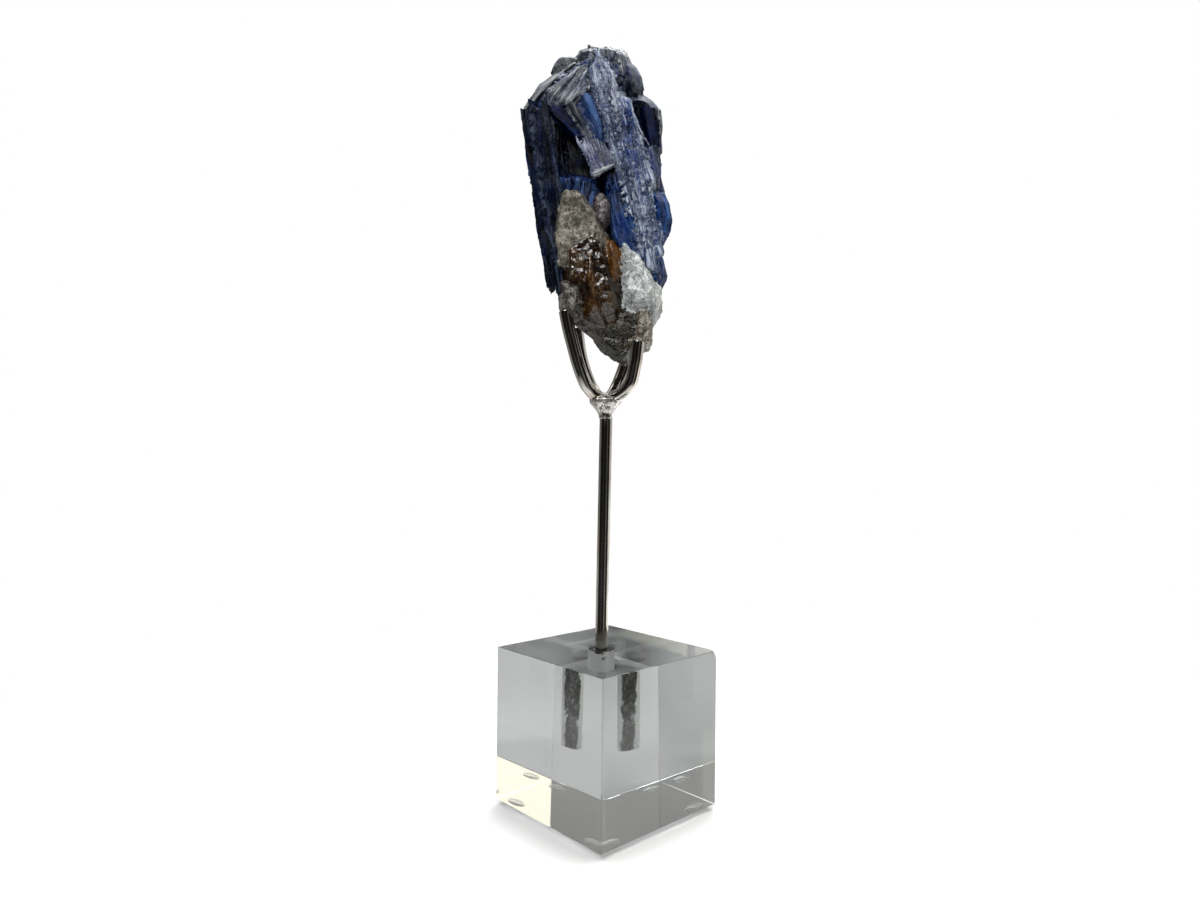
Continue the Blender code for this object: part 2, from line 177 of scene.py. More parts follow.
def scaled(tree, vector, scale, turn=(0, 0, 0)):
    return addNode(tree, "ShaderNodeMapping", {"Vector": vector, "Scale": scale,
                                               "Rotation": turn}).outputs[0]


def noiseAt(tree, vector, scale=1.0, detail=3.0, rough=0.55, warp=0.0):
    return addNode(tree, "ShaderNodeTexNoise", {"Vector": vector, "Scale": scale, "Detail": detail,
                                                "Roughness": rough, "Distortion": warp}).outputs[0]


def newGroup(name, inputs, outputs):
    group = bpy.data.node_groups.new(name, "ShaderNodeTree")
    for socket, kind, value in inputs:
        made = group.interface.new_socket(socket, in_out="INPUT", socket_type=kind)
        if value is not None:
            made.default_value = value
    for socket, kind in outputs:
        group.interface.new_socket(socket, in_out="OUTPUT", socket_type=kind)
    return group, group.nodes.new("NodeGroupInput").outputs, group.nodes.new("NodeGroupOutput").inputs


def newMaterial(name, **constants):
    material = bpy.data.materials.new(name)
    material.use_nodes = True
    shader = material.node_tree.nodes["Principled BSDF"]
    for socket, value in constants.items():
        shader.inputs[socket.replace("_", " ")].default_value = value
    return material, material.node_tree, shader


def placeCoords(tree):
    return addNode(tree, "ShaderNodeTexCoord").outputs["Object"]


def bump(tree, shader, height, distance, strength=1.0):
    made = addNode(tree, "ShaderNodeBump", {"Height": height, "Distance": distance,
                                            "Strength": strength})
    tree.links.new(made.outputs[0], shader.inputs["Normal"])


# ---- camera, floor and light

camera = dict(lens=24.53, spot=Vector((6.851, -267.923, 115.061)) * mm,
              look=Vector((-0.03596, 0.99935, 0)), roll=math.radians(0.58))


def setCamera():
    lens = bpy.data.cameras.new("camera")
    lens.lens = camera["lens"]
    lens.clip_start = 0.01
    made = bpy.data.objects.new("camera", lens)
    bpy.context.scene.collection.objects.link(made)
    aim = (standPlace.to_quaternion() @ camera["look"]).to_track_quat("-Z", "Y")
    made.rotation_mode = "QUATERNION"
    made.rotation_quaternion = (aim.to_matrix().to_4x4()
                                @ Matrix.Rotation(camera["roll"], 4, "Z")).to_quaternion()
    made.location = standPlace @ camera["spot"]
    bpy.context.scene.camera = made


studio = dict(floorSize=30.0, floorWhite=0.66, paintedShadowReach=0.02, floorGrey=(0.15, 0.235), floorShine=0.75, shineReach=(0.09, 0.2),
              fade=(0.14, 0.3), ceiling=2.3, behind=(0.215, 0.212, 0.2), left=(0.2, 0.2, 0.19), front=0.07,
              right=(1.2, 1.14, 0.93),
              metalRoom=dict(front=0.015, top=1.6,
                             sides=((-1, (0.3, 0.36, 0.38, 0.46), 0.07, (-0.2, 0.0), 0.3),
                                    (1, (0.42, 0.5, 0.6, 0.8), 0.16, (-0.2, 0.05), 1.0))))


def above(tree, value, low, high):
    return addNode(tree, "ShaderNodeMapRange", {"Value": value, "From Min": low, "From Max": high},
                   interpolation_type="SMOOTHSTEP").outputs[0]


def grey(level):
    return (level, level, level, 1)


def makeRoomGroup():
    room = studio["metalRoom"]
    group, given, made = newGroup("metalRoom", [("Vector", "NodeSocketVector", None)],
                                  [("Level", "NodeSocketColor")])
    way = scaled(group, given["Vector"], (1, 1, 0), (0, 0, -stand["turn"]))
    flat = addNode(group, "ShaderNodeVectorMath", {0: way}, operation="NORMALIZE").outputs[0]
    across, behind = addNode(group, "ShaderNodeSeparateXYZ", {0: flat}).outputs[:2]
    level = grey(room["front"])
    for sign, line, shine, start, side in room["sides"]:
        outward = sums(group, "MULTIPLY", across, sign)
        stripe = sums(group, "MULTIPLY", above(group, outward, *line[:2]), above(group, outward, *line[3:1:-1]))
        stripe = sums(group, "MULTIPLY", stripe, above(group, behind, 0.0, -0.1))
        level = mixColour(group, stripe, level, grey(shine))
        beyond = sums(group, "MULTIPLY", above(group, outward, 0.0, 0.1), above(group, behind, *start))
        level = mixColour(group, beyond, level, grey(side))
    group.links.new(level, made["Level"])
    return group


def mirrorRay(tree):
    rays = addNode(tree, "ShaderNodeLightPath").outputs
    return sums(tree, "MULTIPLY", rays["Is Glossy Ray"], sums(tree, "SUBTRACT", 1.0, rays["Is Transmission Ray"]))


def setFloor(roomGroup):
    bpy.ops.mesh.primitive_plane_add(size=studio["floorSize"])
    floor = newest("floor")
    material, tree, shader = newMaterial("paleFloor", Roughness=0.9, Specular_IOR_Level=0.0, Emission_Strength=1.0)
    path = addNode(tree, "ShaderNodeLightPath").outputs["Is Camera Ray"]
    spot = placeCoords(tree)
    across = addNode(tree, "ShaderNodeVectorMath", {0: spot, 1: standPlace.to_quaternion() @ Vector((1, 0, 0))},
                     operation="DOT_PRODUCT").outputs["Value"]
    dull = mixColour(tree, above(tree, across, -0.06, 0.01), *(grey(level) for level in studio["floorGrey"]))
    away = addNode(tree, "ShaderNodeVectorMath", {0: spot}, operation="LENGTH").outputs["Value"]
    glow = sums(tree, "MULTIPLY", above(tree, away, *studio["fade"]), path)
    beyond = addNode(tree, "ShaderNodeGroup", {"Vector": spot}, node_tree=roomGroup).outputs[0]
    shine = mixColour(tree, above(tree, away, *studio["shineReach"]), grey(studio["floorShine"]), beyond)
    colour = mixColour(tree, mirrorRay(tree), dull, shine)
    # Painted contact shadow: for camera rays the floor's white is darkened by ambient occlusion close to the cube.
    paintedContactShadow = addNode(tree, "ShaderNodeAmbientOcclusion", {"Distance": studio["paintedShadowReach"]}, samples=12).outputs["AO"]
    white = mixColour(tree, above(tree, paintedContactShadow, 0.45, 0.95), grey(studio["floorWhite"] * 0.68),
                      grey(studio["floorWhite"]))
    colour = mixColour(tree, path, colour, white)
    tree.links.new(mixColour(tree, glow, colour, grey(0)), shader.inputs["Base Color"])
    tree.links.new(mixColour(tree, glow, grey(0), grey(1)), shader.inputs["Emission Color"])
    floor.data.materials.append(material)


def setWorld(roomGroup):
    world = bpy.data.worlds.new("studio")
    world.use_nodes = True
    bpy.context.scene.world = world
    tree = world.node_tree
    spot = addNode(tree, "ShaderNodeTexCoord").outputs["Generated"]
    way = scaled(tree, spot, (1, 1, 1), (0, 0, -stand["turn"]))
    across, behind, upward = addNode(tree, "ShaderNodeSeparateXYZ", {0: way}).outputs
    colour = mixColour(tree, above(tree, behind, -0.5, 0.3), grey(studio["front"]), (*studio["behind"], 1))
    colour = mixColour(tree, above(tree, sums(tree, "MULTIPLY", across, -1.0), 0.45, 0.75), colour,
                       (*studio["left"], 1))
    colour = mixColour(tree, above(tree, across, 0.72, 0.8), colour, (*studio["right"], 1))
    colour = mixColour(tree, above(tree, upward, 0.72, 0.82), colour, grey(studio["ceiling"]))
    gleam = addNode(tree, "ShaderNodeGroup", {"Vector": spot}, node_tree=roomGroup).outputs[0]
    gleam = mixColour(tree, above(tree, upward, 0.6, 0.75), gleam, grey(studio["metalRoom"]["top"]))
    colour = mixColour(tree, mirrorRay(tree), colour, gleam)
    path = addNode(tree, "ShaderNodeLightPath").outputs["Is Camera Ray"]
    tree.links.new(mixColour(tree, path, colour, grey(1.0)), tree.nodes["Background"].inputs["Color"])


def addPanel(name, spot, target, size, power, colour=(1, 1, 1)):
    light = bpy.data.lights.new(name, "AREA")
    light.shape = "RECTANGLE"
    light.size, light.size_y = size
    light.energy = power
    light.color = colour
    made = bpy.data.objects.new(name, light)
    bpy.context.scene.collection.objects.link(made)
    made.location = standPlace @ Vector(spot)
    made.rotation_euler = (standPlace @ Vector(target) - made.location).to_track_quat("-Z", "Y").to_euler()
    made.visible_camera = False


def setLights():
    addPanel("frontFill", (-0.25, -0.9, 0.75), (0, 0, 0.19), (0.35, 0.35), 9)
    addPanel("topLight", (0.1, 0.15, 1.0), (0, 0, 0.2), (0.5, 0.5), 10)


bpy.context.scene.view_settings.view_transform = "Standard"
setCamera()
roomGroup = makeRoomGroup()
setFloor(roomGroup)
setWorld(roomGroup)
setLights()
print("camera, floor and light")

# ---- glass cube, its sleeve and its feet

cube = dict(width=50.8 * mm, edge=50 * mm, base=stand["lift"], bevel=0.46 * mm, wornCorner=3.4 * mm,
            holeRadius=4.3 * mm, holeDepth=28.98 * mm, holeSpot=-1.7 * mm)
sleeve = dict(radius=4.33 * mm, bore=2.7 * mm, length=29 * mm, floor=3 * mm)
# Where the sleeve's painted light goes: its axis, the way across it towards the back, the top rim painted dark as
# shadow and the glancing range whose edges get a painted highlight.
sleevePaintedLight = dict(axis=(standPlace @ Vector((cube["holeSpot"], 0, 0))),
                    way=standPlace.to_quaternion() @ Vector((0, 1, 0)),
                    rim=(cube["base"] + cube["edge"] - 0.5 * mm, cube["base"] + cube["edge"] - 0.1 * mm),
                    paintedEdgeHighlight=(0.16, 0.5))
foot = dict(radius=4 * mm, height=1.84 * mm, inset=6.9 * mm)


def clearMaterial(name, colour, roughness, ior, density=None, transmission=1.0):
    material, tree, shader = newMaterial(name, Roughness=roughness, IOR=ior, Transmission_Weight=transmission)
    shader.inputs["Base Color"].default_value = colour
    if density:
        haze = addNode(tree, "ShaderNodeVolumeAbsorption", {"Color": ink("#b9cfc9"), "Density": density})
        tree.links.new(haze.outputs[0], tree.nodes["Material Output"].inputs["Volume"])
    return material, tree, shader


def makeGlass():
    material, tree, shader = clearMaterial("clearGlass", (1, 1, 1, 1), 0.0, 1.5, 4.0)
    return material


def makeSleeveMetal():
    material, tree, shader = newMaterial("sleeveMetal", Metallic=0.6, Specular_IOR_Level=0.3)
    spot = placeCoords(tree)
    specks = noiseAt(tree, scaled(tree, spot, (1500, 1500, 900)), detail=5, rough=0.8)
    cloud = noiseAt(tree, scaled(tree, spot, (260, 260, 110)), detail=4, warp=0.7)
    around = addNode(tree, "ShaderNodeVectorMath", {0: spot, 1: sleevePaintedLight["axis"]}, operation="SUBTRACT")
    around = addNode(tree, "ShaderNodeVectorMath", {0: around.outputs[0], 1: sleevePaintedLight["way"]},
                     operation="DOT_PRODUCT").outputs["Value"]
    # Painted shade: the sleeve is darker on the side that faces the camera and lighter towards its flanks and back.
    side = sums(tree, "DIVIDE", around, sleeve["radius"])
    level = sums(tree, "ADD", sums(tree, "MULTIPLY", specks, 0.95), sums(tree, "MULTIPLY", cloud, 0.7))
    level = sums(tree, "ADD", level, sums(tree, "MULTIPLY", sums(tree, "ADD", side, 0.9), 0.12))
    # Painted highlight: edges seen at a glancing angle are lightened.
    facing = addNode(tree, "ShaderNodeLayerWeight", {"Blend": 0.5}).outputs["Facing"]
    edge = sums(tree, "ADD", facing, sums(tree, "MULTIPLY", sums(tree, "SUBTRACT", cloud, 0.5), 0.6))
    level = sums(tree, "ADD", level, sums(tree, "MULTIPLY", above(tree, edge, *sleevePaintedLight["paintedEdgeHighlight"]), 0.6))
    # Painted shadow: the top rim is darkened.
    height = addNode(tree, "ShaderNodeSeparateXYZ", {0: spot}).outputs[2]
    level = sums(tree, "SUBTRACT", level,
                 sums(tree, "MULTIPLY", above(tree, height, *sleevePaintedLight["rim"]), 2.0))
    tree.links.new(ramp(tree, level, [(0.66, ink("#0c0c0a")), (0.84, ink("#3a3b36")), (1.02, ink("#7b7f7d")),
                                      (1.25, ink("#dadddd"))]), shader.inputs["Base Color"])
    tree.links.new(ramp(tree, specks, [(0.35, 0.6), (0.65, 0.3)]), shader.inputs["Roughness"])
    bump(tree, shader, specks, 0.0002, 0.9)
    return material


def makeCube(glass):
    bpy.ops.mesh.primitive_cube_add(size=cube["edge"], location=(0, 0, cube["base"] + cube["edge"] / 2))
    block = newest("glassCube")
    block.scale = (cube["width"] / cube["edge"], cube["width"] / cube["edge"], 1)
    bpy.ops.object.transform_apply()
    openMesh(block, "VERT")
    pickVertices(block, lambda vertex: vertex.co.x > 0 and vertex.co.y > 0 and vertex.co.z > cube["edge"] / 2)
    bpy.ops.mesh.bevel(offset=cube["wornCorner"], segments=5, affect="VERTICES", profile=0.5)
    closeMesh()
    edges = block.modifiers.new("edges", "BEVEL")
    edges.limit_method = "ANGLE"
    edges.angle_limit = math.radians(60)
    edges.width = cube["bevel"]
    edges.segments = 2
    bpy.ops.mesh.primitive_cylinder_add(vertices=96, radius=cube["holeRadius"], depth=cube["holeDepth"] * 2,
                                        location=standPlace @ Vector((cube["holeSpot"], 0, cube["edge"])))
    drill = newest("drill")
    hole = block.modifiers.new("hole", "BOOLEAN")
    hole.object = drill
    hole.solver = "EXACT"
    applyAll(block)
    bpy.data.objects.remove(drill)
    axis = (standPlace @ Vector((cube["holeSpot"], 0, 0))).xy
    openMesh(block)
    bpy.ops.mesh.select_all(action="SELECT")
    bpy.ops.mesh.faces_shade_flat()
    pickFaces(block, lambda face: abs(face.normal.z) < 0.1
              and (face.calc_center_median().xy - axis).length < cube["holeRadius"] * 1.1)
    bpy.ops.mesh.faces_shade_smooth()
    corner = Vector((cube["width"] / 2, cube["width"] / 2, cube["base"] + cube["edge"]))
    pickFaces(block, lambda face: max(abs(part) for part in face.normal) < 0.998
              and (face.calc_center_median() - corner).length < cube["wornCorner"] * 1.2)
    bpy.ops.mesh.faces_shade_smooth()
    closeMesh()
    block.data.materials.clear()
    block.data.materials.append(glass)
    return finishPiece(block, "clear_glass", "glass_block")


def makeSleeve(metal):
    top = cube["edge"]
    bpy.ops.mesh.primitive_cylinder_add(vertices=96, radius=sleeve["radius"], depth=sleeve["length"],
                                        location=(cube["holeSpot"], 0, top - sleeve["length"] / 2))
    tube = newest("sleeve")
    openMesh(tube)
    pickFaces(tube, lambda face: face.normal.z > 0.9)
    bpy.ops.mesh.inset(thickness=sleeve["radius"] - sleeve["bore"])
    bpy.ops.mesh.extrude_region_move(TRANSFORM_OT_translate=dict(value=(0, 0, sleeve["floor"] - sleeve["length"])))
    closeMesh()
    rim = tube.modifiers.new("rim", "BEVEL")
    rim.width = 0.25 * mm
    rim.segments = 2
    rim.limit_method = "ANGLE"
    applyAll(tube)
    smoothBy(tube, 40)
    tube.data.materials.append(metal)
    return finishPiece(tube, "sleeve_metal", "socket_sleeve", place=standPlace)


def makeFeet(rubber):
    reach = cube["width"] / 2 - foot["inset"]
    places = dict(foot_front=(1, -1), foot_left=(-1, -1), foot_right=(1, 1), foot_back=(-1, 1))
    for name, (sideX, sideY) in places.items():
        bpy.ops.mesh.primitive_cylinder_add(vertices=48, radius=foot["radius"], depth=foot["height"],
                                            location=(sideX * reach, sideY * reach, foot["height"] / 2))
        pad = newest(name.replace("foot_", "bumper"))
        openMesh(pad)
        pickFaces(pad, lambda face: face.normal.z < -0.9)
        for inward, drop in ((0.25, -0.05), (0.5, -0.35), (0.9, -0.3)):
            bpy.ops.mesh.inset(thickness=inward * mm, depth=0)
        closeMesh()
        dome = pad.modifiers.new("dome", "BEVEL")
        dome.width = 1.1 * mm
        dome.segments = 5
        dome.limit_method = "ANGLE"
        applyAll(pad)
        smoothBy(pad, 45)
        pad.data.materials.append(rubber)
        finishPiece(pad, "clear_silicone", name)


makeCube(makeGlass())
makeSleeve(makeSleeveMetal())
makeFeet(clearMaterial("clearSilicone", (0.98, 0.98, 0.97, 1), 0.1, 1.41, transmission=0.82)[0])
print("glass cube, sleeve and feet")

# ---- rod and fork

rod = dict(radius=2.1 * mm, foot=Vector((-1.7, 0, 50)) * mm, top=Vector((-0.9, 0, 126)) * mm, depth=25.7 * mm)
forkWires = {
    "front_left": [(-2.6, -1.2, 131.9), (-4.7, -2.4, 133.1), (-6.2, -3.6, 134.7), (-7.5, -4.6, 136.4),
                   (-8.9, -6.0, 139.8), (-10.1, -6.9, 143.4), (-11.2, -7.4, 147.4), (-12.8, -8.0, 153.4),
                   (-14.0, -8.4, 159.2)],
    "front_right": [(-0.6, -1.0, 131.9), (1.0, -2.0, 132.2), (3.3, -3.8, 133.0), (5.4, -5.6, 134.4),
                    (6.6, -6.6, 136.0), (7.4, -7.2, 137.7), (8.0, -8.0, 140.6), (8.6, -8.6, 143.9),
                    (9.2, -9.0, 149.6)],
    "back_left": [(-2.0, 1.3, 131.7), (-3.9, 2.8, 132.9), (-6.4, 5.0, 136.8), (-8.6, 7.0, 142.4),
                  (-10.2, 8.4, 148.6), (-11.2, 9.2, 156.0)],
    "back_right": [(0.0, 1.0, 131.8), (1.2, 2.4, 133.6), (2.3, 4.2, 135.9), (3.3, 5.7, 138.5),
                   (4.5, 6.9, 142.0), (6.1, 8.2, 147.4), (7.2, 8.8, 152.0)],
}
solder = dict(spot=Vector((-1.1, -0.5, 0)) * mm,
              profile=[(2.12, 126.3), (2.35, 127.0), (3.0, 128.0), (4.1, 129.2), (5.1, 130.4), (5.4, 131.5),
                       (4.4, 132.6), (1.8, 133.2)])


def makeNickel():
    material, tree, shader = newMaterial("darkNickel", Metallic=1.0)
    spot = placeCoords(tree)
    stain = noiseAt(tree, scaled(tree, spot, (260, 260, 90)), detail=4, warp=0.6)
    warm = noiseAt(tree, scaled(tree, spot, (90, 90, 40)), detail=2)
    colour = ramp(tree, stain, [(0.3, ink("#8f8d87")), (0.55, ink("#a8a6a0")), (0.8, ink("#bdbbb4"))])
    colour = mixColour(tree, ramp(tree, warm, [(0.5, 0.0), (0.75, 0.6)]), colour, ink("#92775f"))
    tree.links.new(colour, shader.inputs["Base Color"])
    tree.links.new(ramp(tree, stain, [(0.3, 0.13), (0.8, 0.05)]), shader.inputs["Roughness"])
    pits = noiseAt(tree, scaled(tree, spot, (1500, 1500, 900)), detail=3)
    bump(tree, shader, pits, 0.00003, 0.35)
    return material


def makeSolder():
    material, tree, shader = newMaterial("brushedSolder", Metallic=1.0)
    spot = placeCoords(tree)
    streaks = noiseAt(tree, scaled(tree, spot, (1300, 1300, 150)), detail=4, rough=0.65)
    cloud = noiseAt(tree, scaled(tree, spot, (330, 330, 330)), detail=3, warp=0.8)
    level = sums(tree, "ADD", sums(tree, "MULTIPLY", streaks, 0.6), sums(tree, "MULTIPLY", cloud, 0.5))
    colour = ramp(tree, level, [(0.42, ink("#4d4946")), (0.52, ink("#a7a39f")), (0.66, ink("#d6d3cf"))])
    cracks = noiseAt(tree, scaled(tree, spot, (150, 150, 190), (0.5, 0.2, 0)), detail=2, warp=1.0)
    colour = mixColour(tree, ramp(tree, cracks, [(0.47, 0.0), (0.485, 0.8), (0.495, 0.8), (0.51, 0.0)]), colour,
                       ink("#0d0c0b"))
    tree.links.new(mixColour(tree, ramp(tree, cloud, [(0.62, 0.0), (0.72, 0.7)]), colour, ink("#7a5a42")),
                   shader.inputs["Base Color"])
    tree.links.new(ramp(tree, level, [(0.4, 0.2), (0.6, 0.42)]), shader.inputs["Roughness"])
    bump(tree, shader, streaks, 0.0001, 0.6)
    return material


def smoothPath(points, steps):
    ends = [points[0] * 2 - points[1], *points, points[-1] * 2 - points[-2]]
    path = []
    for before, start, end, after in zip(ends, ends[1:], ends[2:], ends[3:]):
        for step in range(steps):
            t = step / steps
            path.append((start * 2 + (end - before) * t + (before * 2 - start * 5 + end * 4 - after) * t ** 2
                         + (start * 3 - before - end * 3 + after) * t ** 3) / 2)
    return [*path, points[-1]]


def makeWire(name, points):
    line = bpy.data.curves.new(name, "CURVE")
    line.dimensions = "3D"
    line.bevel_depth = rod["radius"]
    line.bevel_resolution = 10
    line.use_fill_caps = True
    path = smoothPath([Vector(point) * mm for point in points], 10)
    spline = line.splines.new("POLY")
    spline.points.add(len(path) - 1)
    for spot, place in zip(spline.points, path):
        spot.co = (*place, 1)
    wire = bpy.data.objects.new(name, line)
    bpy.context.scene.collection.objects.link(wire)
    pickOnly(wire)
    bpy.ops.object.convert(target="MESH")
    wire = newest(name)
    openMesh(wire)
    bpy.ops.mesh.select_all(action="SELECT")
    bpy.ops.mesh.remove_doubles(threshold=1e-6)
    closeMesh()
    cut = wire.modifiers.new("cutEnd", "BEVEL")
    cut.width = 0.12 * mm
    cut.segments = 2
    cut.limit_method = "ANGLE"
    cut.angle_limit = math.radians(50)
    applyAll(wire)
    smoothBy(wire, 40)
    return wire


def makeFork(nickel, brushed):
    wires = {name: makeWire(name + "Wire", points) for name, points in forkWires.items()}
    bpy.ops.mesh.primitive_cylinder_add(vertices=64, radius=solder["profile"][0][0] * mm, depth=1 * mm,
                                        location=solder["spot"] + Vector((0, 0, solder["profile"][0][1] - 0.5)) * mm)
    blob = newest("solderJoint")
    openMesh(blob)
    pickFaces(blob, lambda face: face.normal.z > 0.9)
    for (width, height), (nextWidth, nextHeight) in zip(solder["profile"], solder["profile"][1:]):
        bpy.ops.mesh.extrude_region_move(TRANSFORM_OT_translate=dict(value=(0, 0, (nextHeight - height) * mm)))
        bpy.ops.transform.resize(value=(nextWidth / width, nextWidth / width, 1))
    closeMesh()
    remesh = blob.modifiers.new("weld", "REMESH")
    remesh.mode = "VOXEL"
    remesh.voxel_size = 0.22 * mm
    lumps = bpy.data.textures.new("solderLumps", "CLOUDS")
    lumps.noise_scale = 0.0022
    push = blob.modifiers.new("lumps", "DISPLACE")
    push.texture = lumps
    push.strength = 0.5 * mm
    push.mid_level = 0.5
    relax = blob.modifiers.new("relax", "SMOOTH")
    relax.iterations = 6
    applyAll(blob)
    smoothBy(blob, 60)
    names = dict(front_left="wireFrontLeft", front_right="wireFrontRight", back_left="wireBackLeft",
                 back_right="wireBackRight")
    blob.data.materials.append(brushed)
    finishPiece(blob, "dark_nickel", "fork_hub", place=standPlace)
    for name, wire in wires.items():
        wire.name = wire.data.name = names[name]
        wire.data.materials.clear()
        wire.data.materials.append(nickel)
        finishPiece(wire, "dark_nickel", "prong_" + name, place=standPlace)


def makeRod(nickel):
    lean = (rod["top"] - rod["foot"]).normalized()
    base = rod["foot"] - lean * rod["depth"]
    length = (rod["top"] - base).length
    bpy.ops.mesh.primitive_cylinder_add(vertices=64, radius=rod["radius"], depth=length,
                                        location=(0, 0, length / 2))
    bar = newest("rod")
    bpy.ops.object.transform_apply()
    openMesh(bar, "EDGE")
    pickEdges(bar, lambda edge: abs(edge.verts[0].co.z - edge.verts[1].co.z) > length / 2)
    bpy.ops.mesh.subdivide(number_cuts=24)
    closeMesh()
    ends = bar.modifiers.new("ends", "BEVEL")
    ends.width = 0.2 * mm
    ends.segments = 2
    ends.limit_method = "ANGLE"
    applyAll(bar)
    smoothBy(bar, 40)
    bar.data.materials.append(nickel)
    place = standPlace @ Matrix.Translation(base) @ lean.to_track_quat("Z", "Y").to_matrix().to_4x4()
    return finishPiece(bar, "dark_nickel", "post", place=place)


nickel = makeNickel()
makeRod(nickel)
makeFork(nickel, makeSolder())
print("rod and fork")

# Tones are dark, middle and light; blue is how much of the deep blue shows through in patches.
# Painted glints: small bright specks in the colour stand in for sparkles of light; each finish sets how strongly they
# show.
stoneLooks = dict(
    # The first finish is partly the stone's own near-black navy and partly painted shade: it goes on the side strips
    # that stand in shadow, the recess and the hollow.
    nightBlue=dict(tones=("#000001", "#030712", "#343e52"), blue=0.18, rough=0.3, shine=0.07, paintedGlints=0.15),
    deepBlue=dict(tones=("#000107", "#061232", "#3f5a88"), blue=0.8, rough=0.28, shine=0.1, paintedGlints=0.35),
    slateBlue=dict(tones=("#010820", "#35435e", "#b3bdcc"), blue=0.85, rough=0.34, shine=0.2, paintedGlints=1.1),
    silverBlue=dict(tones=("#0d1523", "#3c4553", "#bac2c5"), blue=0.25, rough=0.26, shine=0.4, paintedGlints=1.0),
    oliveBlue=dict(tones=("#080b11", "#3a3f44", "#868a8d"), blue=0.15, rough=0.36, shine=0.2, paintedGlints=0.5),
    lilacBlue=dict(tones=("#030512", "#353a51", "#a2a8bc"), blue=0.3, rough=0.3, shine=0.25, paintedGlints=1.3),
    steelBlue=dict(tones=("#05080f", "#2e3644", "#7f8896"), blue=0.3, rough=0.34, shine=0.16, paintedGlints=0.2),
    inkBlue=dict(tones=("#000004", "#020622", "#25325e"), blue=0.3, rough=0.26, shine=0.06, paintedGlints=0.05),
    lobeBlue=dict(tones=("#000722", "#05204f", "#33619a"), blue=0.5, rough=0.28, shine=0.1, paintedGlints=0.15),
)
patchBlue = "#072a6c"


def makeGrainGroup():
    group, given, made = newGroup("bladeGrain", [("Vector", "NodeSocketVector", None)],
                                  [(name, "NodeSocketFloat") for name in
                                   ("Fine", "Broad", "Mottle", "Cracks", "PaintedGlints", "Patches")])
    tree = group
    wander = noiseAt(tree, scaled(tree, given["Vector"], (0.25, 0.25, 0.06)), detail=1)
    push = addNode(tree, "ShaderNodeCombineXYZ", {"X": sums(tree, "MULTIPLY", wander, 1.6)})
    spot = addNode(tree, "ShaderNodeVectorMath", {0: given["Vector"], 1: push.outputs[0]},
                   operation="ADD").outputs[0]
    across = noiseAt(tree, scaled(tree, spot, (0.35, 0.35, 2.4), (0.3, 0.2, 0)), detail=3)
    cells = addNode(tree, "ShaderNodeTexVoronoi", {"Vector": scaled(tree, spot, (6.5, 6.5, 3.4)), "Scale": 1.0})
    pick = addNode(tree, "ShaderNodeSeparateColor", {0: cells.outputs["Color"]}).outputs[0]
    results = dict(
        Fine=noiseAt(tree, scaled(tree, spot, (3.0, 3.0, 0.16)), detail=4, rough=0.66),
        Broad=noiseAt(tree, scaled(tree, spot, (0.7, 0.7, 0.05)), detail=2),
        Mottle=noiseAt(tree, scaled(tree, spot, (0.9, 0.9, 0.16)), detail=6, rough=0.62, warp=0.9),
        Cracks=ramp(tree, across, [(0.0, 0.0), (0.60, 0.0), (0.635, 1.0), (0.67, 0.0)]),
        # Painted glints: a few scattered cells become bright specks.
        PaintedGlints=ramp(tree, pick, [(0.0, 0.0), (0.965, 0.0), (0.985, 1.0)]),
        Patches=ramp(tree, noiseAt(tree, scaled(tree, spot, (0.24, 0.24, 0.09)), detail=4, warp=0.6),
                     [(0.0, 0.0), (0.46, 0.0), (0.6, 1.0)]))
    for name, value in results.items():
        tree.links.new(value, made[name])
    return group


